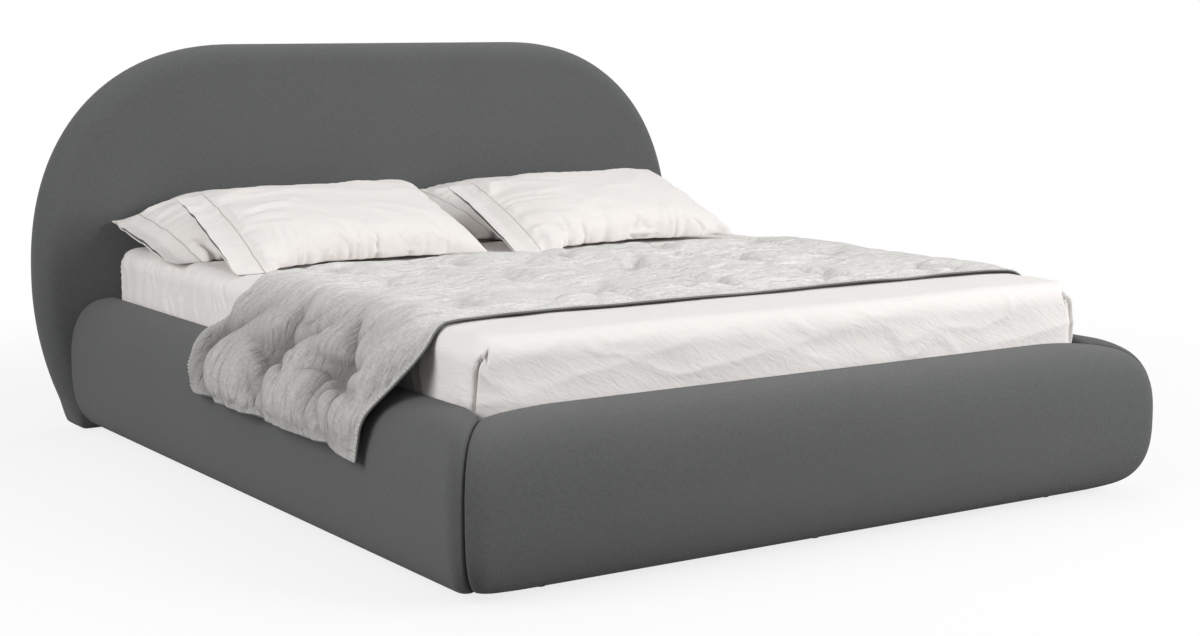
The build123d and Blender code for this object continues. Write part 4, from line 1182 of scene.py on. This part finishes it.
def filled_case(where, width, thickness, seed):
    """A pillowcase lying flat, filled; its points' distances from its open end; its columns and rows."""
    settings = bpy.context.scene.bed_bedding
    band, height = settings.band, PILLOW_HEIGHT
    columns, rows = int(width / PILLOW_COLUMN), int(height / PILLOW_ROW)
    # The first two columns run back into the open end, so that a slot shows between its layers
    u = np.concatenate([[band * 0.35, 0], np.linspace(0.0005, width, columns - 2)])[None, :]
    u, v = np.broadcast_arrays(u, (np.linspace(0, 1, rows)[:, None] - 0.5) * height)
    full = smooth_step(u, band * 0.9, band + 0.12) * smooth_step(width - u, 0, 0.10)
    lens = np.clip(1 - (np.abs(v) / (height / 2)) ** 2.2, 0, 1)
    crown = thickness / 2 * 0.62 * lens * (0.04 + 0.96 * full) + 0.0015
    crown = crown * (1 + 0.10 * soft_noise(u / 0.14, v / 0.12, seed))
    edge = np.minimum(rows_from(rows)[:, None], rows_from(columns)[None, :])
    mouth = settings.mouth / 2 * np.maximum(1 - (v / (height / 2)) ** 2, 0)
    crown = crown + mouth * (1 - smooth_step(u, 0, band))
    crown[:, 1] = np.maximum(crown[:, 2] - 0.0018, 0.0002)
    crown = np.where(edge == 0, 0, crown)
    front = np.stack([u - width / 2, v, crown], axis=2)
    back = front * np.array([1, 1, -1])
    count = rows * columns
    front_faces, front_corners = grid_faces(rows, columns)
    back_faces, back_corners = grid_faces(rows, columns, first=count, flip=True)
    rim = edge.ravel() == 0
    points = np.concatenate([front.reshape(-1, 3), back.reshape(-1, 3)])
    index = np.arange(2 * count)
    index[count:][rim] = index[:count][rim]
    used = np.unique(index)
    renumber = np.zeros(2 * count, int)
    renumber[used] = np.arange(len(used))
    faces = [[int(renumber[index[i]]) for i in face] for face in front_faces + back_faces]
    uv = np.stack([u, v + height], axis=2)
    corner_uvs = [uv[i, j] for i, j in front_corners] + [uv[i, j] + (0, 1) for i, j in back_corners]
    piece = mesh_piece("pillow_" + where, points[used], faces, corner_uvs)
    local_u = np.tile(u.ravel(), 2)[used]
    inflated = [(i, w) for i, w in enumerate(smooth_step(local_u, band, band + 0.05)) if w > 0]
    held = [(i, 0.9) for i, place in enumerate(local_u) if place < band * 0.5]
    blown_up(
        piece, frames=20, pressure=4.0, slack=0.015, cap=0.06, held=held,
        stiffness=12, bend=0.05, inflated=inflated
    )
    return piece, local_u, columns, rows


def pillow(where, middle, width, thickness, tilt, seed, on_quilt, draw_in, droop, material, inside):
    """A filled pillowcase lying on the mattress, its open end towards the left."""
    settings = bpy.context.scene.bed_bedding
    band, height = settings.band, PILLOW_HEIGHT
    piece, from_mouth, columns, rows = filled_case(where, width, thickness, seed)
    shape = points_of(piece)
    # The filling draws the case in, so it is let out to its size again, within the arch of its filling
    seam = band - width / 2
    filled = from_mouth > band
    shape[filled, 0] = seam + (shape[filled, 0] - seam) * (width - band) / (shape[:, 0].max() - seam)
    shape[:, 1] *= height / 2 / np.abs(shape[:, 1]).max()
    z = shape[:, 2] * (thickness / 2) / max(np.percentile(np.abs(shape[:, 2]), 99.5), 1e-6)
    limit = arch(shape[:, 1], height, thickness / 2) * 1.06 + 0.004
    if on_quilt:
        round_edge = np.maximum(1 - np.abs(shape[:, 1] / (height / 2)) ** 2.6, 0) ** 0.62
        limit = np.where(z > 0, thickness / 2 * 1.12 * round_edge + 0.004, limit)
    z = limit * np.tanh(z * 1.1 / limit)
    u, v = shape[:, 0] + width / 2, shape[:, 1]
    shape[:, 2] = z
    move_points(piece, shape)
    outward = np.array([normal.vector for normal in piece.data.vertex_normals])
    fold, hem = pillow_wrinkles(u, v, band, height, width, seed)
    shape = shape + outward * fold[:, None]
    shape[:, 2] += hem
    shape[:, 0] += draw_in * smooth_step(v, -height / 2, height / 2) * (1 - smooth_step(u, 0, width * 0.6))
    slope = math.radians(tilt)
    across = np.array([0, math.cos(slope), math.sin(slope)])
    up = np.array([0, -math.sin(slope), math.cos(slope)])
    low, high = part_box("pillowcase_" + where)
    centre = np.array([middle, (low.y + high.y) / 2, 0])
    world = centre + np.outer(shape[:, 0], [1, 0, 0])
    world = world + np.outer(shape[:, 1], across) + np.outer(shape[:, 2], up)
    rise = thickness / 2
    radius = (height**2 / 4 + rise**2) / (2 * rise)
    world[:, 2] += SHEET_HIGH.z + radius - (radius - rise) * math.cos(slope)
    world[:, 2] -= droop * (1 - smooth_step(shape[:, 0] + width / 2, 0, 0.22))
    # Its weight presses the lower edge down on the bed
    beyond = smooth_step(shape[:, 0] + width / 2, band, band + 0.12) if on_quilt else 0
    sunk = settings.lower_edge_sink * (1 - 0.55 * beyond)
    world[:, 2] -= sunk * (1 - smooth_step(shape[:, 1], -height / 2, -height / 8))
    rest, soft = SHEET_HIGH.z + 0.002 + settings.quilt_pressed * beyond, 0.006
    below = np.minimum((world[:, 2] - rest - soft) / soft, 0)
    world[:, 2] = np.where(below < 0, rest + soft * np.exp(below), world[:, 2])
    move_points(piece, world)
    soften(piece)
    nodes = ("pillowcase_" + where, "pillow_filling_" + where)
    settle(piece, "pillow_" + where, "pillowcase_cotton", material, *nodes)
    # Painted shadow: the inside of the open end, between the first two columns of each layer, gets the dark
    # grey cloth
    piece.data.materials.append(inside)
    in_mouth = [number % (columns - 1) == 0 for number in range(2 * (rows - 1) * (columns - 1))]
    piece.data.polygons.foreach_set("material_index", [int(hidden) for hidden in in_mouth])
    return piece


def arch(place, span, rise):
    """Height of a shallow round arch over a place, measured from its middle."""
    radius = (span**2 / 4 + rise**2) / (2 * rise)
    return np.sqrt(np.maximum(radius**2 - place**2, 0)) - (radius - rise)


def ridges(a, b, seed, sharpness=1.8):
    """Ridges between smooth hollows, from 0 to 1."""
    return (1 - np.abs(soft_noise(a, b, seed))) ** sharpness


def pillow_wrinkles(u, v, band, height, width, seed):
    """Folds that run in from a pillowcase's seam and up from its long edges, and its hem's waves."""
    from_seam = np.maximum(u - band, 0)
    drift = 0.35 * from_seam + 0.02 * soft_noise(u / 0.09, v / 0.15, seed + 40)
    along = (ridges((v + drift) / 0.030, u / 0.16, seed + 50) - 0.45) * np.exp(-from_seam / 0.11)
    from_edge = np.maximum(height / 2 - np.abs(v), 0)
    lean = 0.3 * from_edge * soft_noise(u / 0.12, 0.5, seed + 70)
    low = 0.3 + 0.7 * smooth_step(-v, -0.05, 0.12)
    up = (0.5 - ridges((u + lean) / 0.027, v / 0.25, seed + 60, 2.4)) * np.exp(-from_edge / 0.055) * low
    lumps = soft_noise(u / 0.06, v / 0.08, seed + 65) * np.exp(-from_edge / 0.09) * low
    across = ridges(u / 0.13 + v / 0.08, v / 0.16 - u / 0.3, seed + 80, 3)
    inside = smooth_step(u, band, band + 0.012) * smooth_step(width - u, 0, 0.03)
    inside = inside * smooth_step(from_edge, 0, 0.008)
    hem = 0.003 * soft_noise(u / 0.08, v / 0.032, seed + 90) * (1 - smooth_step(u, band - 0.01, band + 0.02))
    return inside * (0.020 * along + 0.034 * up + 0.007 * lumps + 0.004 * across), hem


def rows_from(count):
    """How many rows each row is from the nearer end."""
    number = np.arange(count)
    return np.minimum(number, count - 1 - number)


def seen_plainly(tree):
    """1 for a ray that the camera sends out straight, by a mirror or through glass, else 0."""
    path = add(tree, "ShaderNodeLightPath").outputs
    seen = maths(tree, "MAXIMUM", path["Is Camera Ray"], path["Is Glossy Ray"])
    return maths(tree, "MAXIMUM", seen, path["Is Transmission Ray"])


def painted_floor(settings):
    # Painted screed, rolled: matt and nearly white. Far from the bed it turns into the white backdrop.
    material, tree, shader = new_material("painted_floor")
    shader.inputs["Roughness"].default_value = 0.9
    shader.inputs["Specular IOR Level"].default_value = 0.1
    place = add(tree, "ShaderNodeTexCoord").outputs["Object"]
    pale = list(settings.floor_colour) + [1]
    patches = noise(tree, place, 2.0, 2.0)
    connect(shader, Base_Color=blend_colours(tree, patches, shade(pale, 0.995), pale))
    far = add(tree, "ShaderNodeVectorMath", {"operation": "LENGTH"}, {0: place})
    ends = {
        "interpolation_type": "SMOOTHSTEP",
        "From Min": settings.floor_reach,
        "From Max": settings.floor_end,
        "To Min": settings.floor_white,
    }
    fade = add(tree, "ShaderNodeMapRange", ends, {"Value": far.outputs["Value"]})
    glow = add(tree, "ShaderNodeEmission", {"Color": WHITE, "Strength": 1.0})
    lit = add(tree, "ShaderNodeBsdfDiffuse", {"Color": shade(pale, settings.floor_bounce)})
    links = {0: fade.outputs[0], 1: shader.outputs[0], 2: glow.outputs[0]}
    white = add(tree, "ShaderNodeMixShader", links=links)
    links = {0: seen_plainly(tree), 1: lit.outputs[0], 2: white.outputs[0]}
    mixed = add(tree, "ShaderNodeMixShader", links=links)
    tree.links.new(mixed.outputs[0], tree.nodes["Material Output"].inputs[0])
    return material


def studio_world(level):
    """A world with even light of a level, white where the camera sees it."""
    world = bpy.data.worlds.new("studio")
    world.use_nodes = True
    tree = world.node_tree
    soft = tree.nodes["Background"]
    soft.inputs["Color"].default_value = WHITE
    soft.inputs["Strength"].default_value = level
    backdrop = add(tree, "ShaderNodeBackground", {"Color": WHITE, "Strength": 1.0})
    links = {0: seen_plainly(tree), 1: soft.outputs[0], 2: backdrop.outputs[0]}
    mix = add(tree, "ShaderNodeMixShader", links=links)
    tree.links.new(mix.outputs[0], tree.nodes["World Output"].inputs[0])
    return world


def lamp(name, place, aim, size, power):
    """A square lamp at a place, aimed at another."""
    data = bpy.data.lights.new(name, "AREA")
    data.shape, data.size, data.energy = "SQUARE", size, power
    piece = bpy.data.objects.new(name, data)
    bpy.context.scene.collection.objects.link(piece)
    piece.location = place
    away = np.array(place) - np.array(aim)
    tilt, turn = math.acos(away[2] / np.linalg.norm(away)), math.atan2(away[1], away[0])
    piece.rotation_euler = (tilt, 0, turn + math.pi / 2)


# Operators, one for each piece or group of like pieces
class BED_OT_stage(bpy.types.Operator):
    """Floor, lights and camera"""

    bl_idname = "bed.stage"
    bl_label = "Stage"

    def execute(self, context):
        settings, scene = context.scene.bed_stage, context.scene
        scene.view_settings.view_transform = "Standard"
        reach = 30.0
        corners = [(-reach, -reach, 0), (reach, -reach, 0), (reach, reach, 0), (-reach, reach, 0)]
        floor = mesh_piece("floor", corners, [[0, 1, 2, 3]])
        floor.data.materials.append(painted_floor(settings))
        scene.world = studio_world(settings.world_level)
        lamp("key_light", (1.6, 0.9, 4.3), (0.0, 0.0, 0.3), size=4.0, power=settings.key_power)
        lamp("front_light", (3.0, -6.0, 3.0), (0.0, 0.0, 0.4), size=3.0, power=settings.front_power)
        lamp("side_light", (-5.5, -1.0, 2.7), (0.0, 0.0, 0.4), size=3.0, power=settings.side_power)
        lamp("right_light", (5.5, -3.5, 2.6), (0.0, 0.0, 0.4), size=3.0, power=settings.right_power)
        view = bpy.data.cameras.new("camera")
        view.sensor_fit, view.sensor_width, view.lens = "HORIZONTAL", 36, settings.lens
        camera = bpy.data.objects.new("camera", view)
        scene.collection.objects.link(camera)
        camera.location = settings.camera_place
        camera.rotation_euler = (math.pi / 2 - settings.camera_pitch, 0, -settings.camera_yaw)
        scene.camera = camera
        return {"FINISHED"}


class BED_OT_headboard(bpy.types.Operator):
    """Headboard cover"""

    bl_idname = "bed.headboard"
    bl_label = "Headboard"

    def execute(self, context):
        headboard("headboard_upholstery", 0, upholstery_cloth(), "upholstery_fabric", "headboard_cover")
        return {"FINISHED"}


class BED_OT_rails(bpy.types.Operator):
    """Rail covers, seamed at the foot corners"""

    bl_idname = "bed.rails"
    bl_label = "Rails"

    def execute(self, context):
        cloth = bpy.data.materials["woven_upholstery_cloth"]
        slot = "upholstery_fabric"
        side_rail("rail_upholstery_left", -1, 0, cloth, slot, "rail_cover_left")
        side_rail("rail_upholstery_right", 1, 0, cloth, slot, "rail_cover_right")
        foot_rail("foot_upholstery", 0, cloth, slot, "foot_cover")
        return {"FINISHED"}


class BED_OT_foam(bpy.types.Operator):
    """Foam under the covers"""

    bl_idname = "bed.foam"
    bl_label = "Foam"

    def execute(self, context):
        cut = foam("upholstery_foam", "#E6DDBE", "#F1EAD2", cell=1.5 * MM)
        under = context.scene.bed_upholstery.cloth_thickness
        slot = "upholstery_foam"
        side_rail("rail_padding_left", -1, under, cut, slot, "rail_foam_left")
        side_rail("rail_padding_right", 1, under, cut, slot, "rail_foam_right")
        foot_rail("foot_padding", under, cut, slot, "foot_foam")
        front, back = slice(0, HEADBOARD_MIDDLE_ROW), slice(HEADBOARD_MIDDLE_ROW + 1, None)
        for half, rows_used, end in (("front", front, -1), ("back", back, 0)):
            name = "headboard_padding_" + half
            headboard(name, under, cut, slot, "headboard_foam_" + half, rows_used=rows_used, closed=(end,))
        return {"FINISHED"}


class BED_OT_mattress(bpy.types.Operator):
    """Mattress and its fitted sheet"""

    bl_idname = "bed.mattress"
    bl_label = "Mattress"

    def execute(self, context):
        settings = context.scene.bed_bedding
        mattress(percale("knitted_ticking", linear("#EFEEEC")))
        fitted_sheet(percale("washed_percale_sheet", list(settings.sheet_colour) + [1]))
        return {"FINISHED"}


class BED_OT_quilt(bpy.types.Operator):
    """Quilt laid across the bed"""

    bl_idname = "bed.quilt"
    bl_label = "Quilt"

    def execute(self, context):
        cloth, backing, edge_shadow, thread = quilt_cloth(), quilt_backing(), quilt_edge_shadow(), quilt_thread()
        quilt(cloth, backing, edge_shadow, thread)
        return {"FINISHED"}


class BED_OT_pillows(bpy.types.Operator):
    """Four pillows in two pairs"""

    bl_idname = "bed.pillows"
    bl_label = "Pillows"

    def execute(self, context):
        settings = context.scene.bed_bedding
        cloth = percale("percale_pillowcase", list(settings.pillow_colour) + [1], seam=settings.band)
        mouth_shade = bpy.data.materials["grey_backing_and_painted_mouth_shade"]
        # Place, middle, width, thickness, tilt, seed, whether it lies on the quilt, draw-in, droop
        kinds = (
            ("rear_left", -0.434, 0.834, 0.152, 10.0, 3, False, 0.0, 0.046),
            ("rear_right", 0.434, 0.834, 0.152, 10.0, 5, False, 0.0, 0.012),
            ("front_left", -0.459, 0.716, 0.150, 18.5, 7, True, 0.022, 0.006),
            ("front_right", 0.353, 0.716, 0.150, 18.5, 9, True, 0.022, 0.014),
        )
        for kind in kinds:
            pillow(*kind, cloth, mouth_shade)
        return {"FINISHED"}


class BED_OT_fittings(bpy.types.Operator):
    """Finishes of the boards, slats, steel and plastic pieces"""

    bl_idname = "bed.fittings"
    bl_label = "Woodwork and fittings"

    def execute(self, context):
        finishes = {
            # Birch plywood, sanded: pale with long faint grain
            "plywood": wood("birch_plywood", "#C7A77E", "#DCC29C", grain=2.5 * MM, roughness=0.55),
            # Planed pine: yellower, with wider rings
            "pine": wood("planed_pine", "#CDA877", "#E6C999", grain=5 * MM, roughness=0.5),
            # Laminated beech, lacquered: even and slightly glossy
            "bent_beech": wood("laminated_beech", "#CBA67C", "#DEBE96", grain=1.5 * MM, roughness=0.35),
            # Polypropylene and polyethylene, moulded with a fine spark grain
            "holder_plastic": hard_finish(
                "moulded_polypropylene", "#1C1C1C", "#272727",
                grit=0.8 * MM, metallic=0, roughness=0.5, relief=0.2
            ),
            "glide_plastic": hard_finish(
                "moulded_polyethylene", "#191919", "#232323",
                grit=0.8 * MM, metallic=0, roughness=0.45, relief=0.2
            ),
            # Zinc-plated steel: pale and slightly cloudy
            "bracket_steel": hard_finish(
                "zinc_plated_sheet_steel", "#A9ACB0", "#C4C7CA",
                grit=1.2 * MM, metallic=1, roughness=0.38, relief=0.1
            ),
            "fastener_steel": hard_finish(
                "zinc_plated_fastener_steel", "#B0B3B6", "#C9CBCE",
                grit=0.8 * MM, metallic=1, roughness=0.32, relief=0.1
            ),
            # Powder coat, baked: black with a fine orange peel
            "powder_coated_steel": hard_finish(
                "powder_coated_steel", "#151515", "#1F1F1F",
                grit=1.2 * MM, metallic=0, roughness=0.45, relief=0.3
            ),
        }
        for part in frame["record"]["subparts"]:
            node = frame["nodes"][part["node"]]
            if node.hide_render or part["material_slot"] not in finishes:
                continue
            node.data.materials.clear()
            node.data.materials.append(finishes[part["material_slot"]])
        return {"FINISHED"}


class BED_PT_panel(bpy.types.Panel):
    """Lists the bed's pieces in the sidebar"""

    bl_idname = "BED_PT_panel"
    bl_label = "Upholstered Bed"
    bl_space_type = "VIEW_3D"
    bl_region_type = "UI"
    bl_category = "Bed"

    def draw(self, context):
        for step in STEPS:
            self.layout.operator(step.bl_idname)


GROUPS = {"bed_upholstery": BedUpholstery, "bed_bedding": BedBedding, "bed_stage": BedStage}
STEPS = (
    BED_OT_stage, BED_OT_headboard, BED_OT_rails, BED_OT_foam,
    BED_OT_mattress, BED_OT_quilt, BED_OT_pillows, BED_OT_fittings,
)


def register():
    for kind in (*GROUPS.values(), *STEPS, BED_PT_panel):
        bpy.utils.register_class(kind)
    for name, kind in GROUPS.items():
        setattr(bpy.types.Scene, name, bpy.props.PointerProperty(type=kind))


def unregister():
    for name in GROUPS:
        delattr(bpy.types.Scene, name)
    for kind in (BED_PT_panel, *STEPS[::-1], *list(GROUPS.values())[::-1]):
        bpy.utils.unregister_class(kind)


def main():
    register()
    for step in STEPS:
        group, name = step.bl_idname.split(".")
        getattr(getattr(bpy.ops, group), name)()


if __name__ == "__main__":
    main()
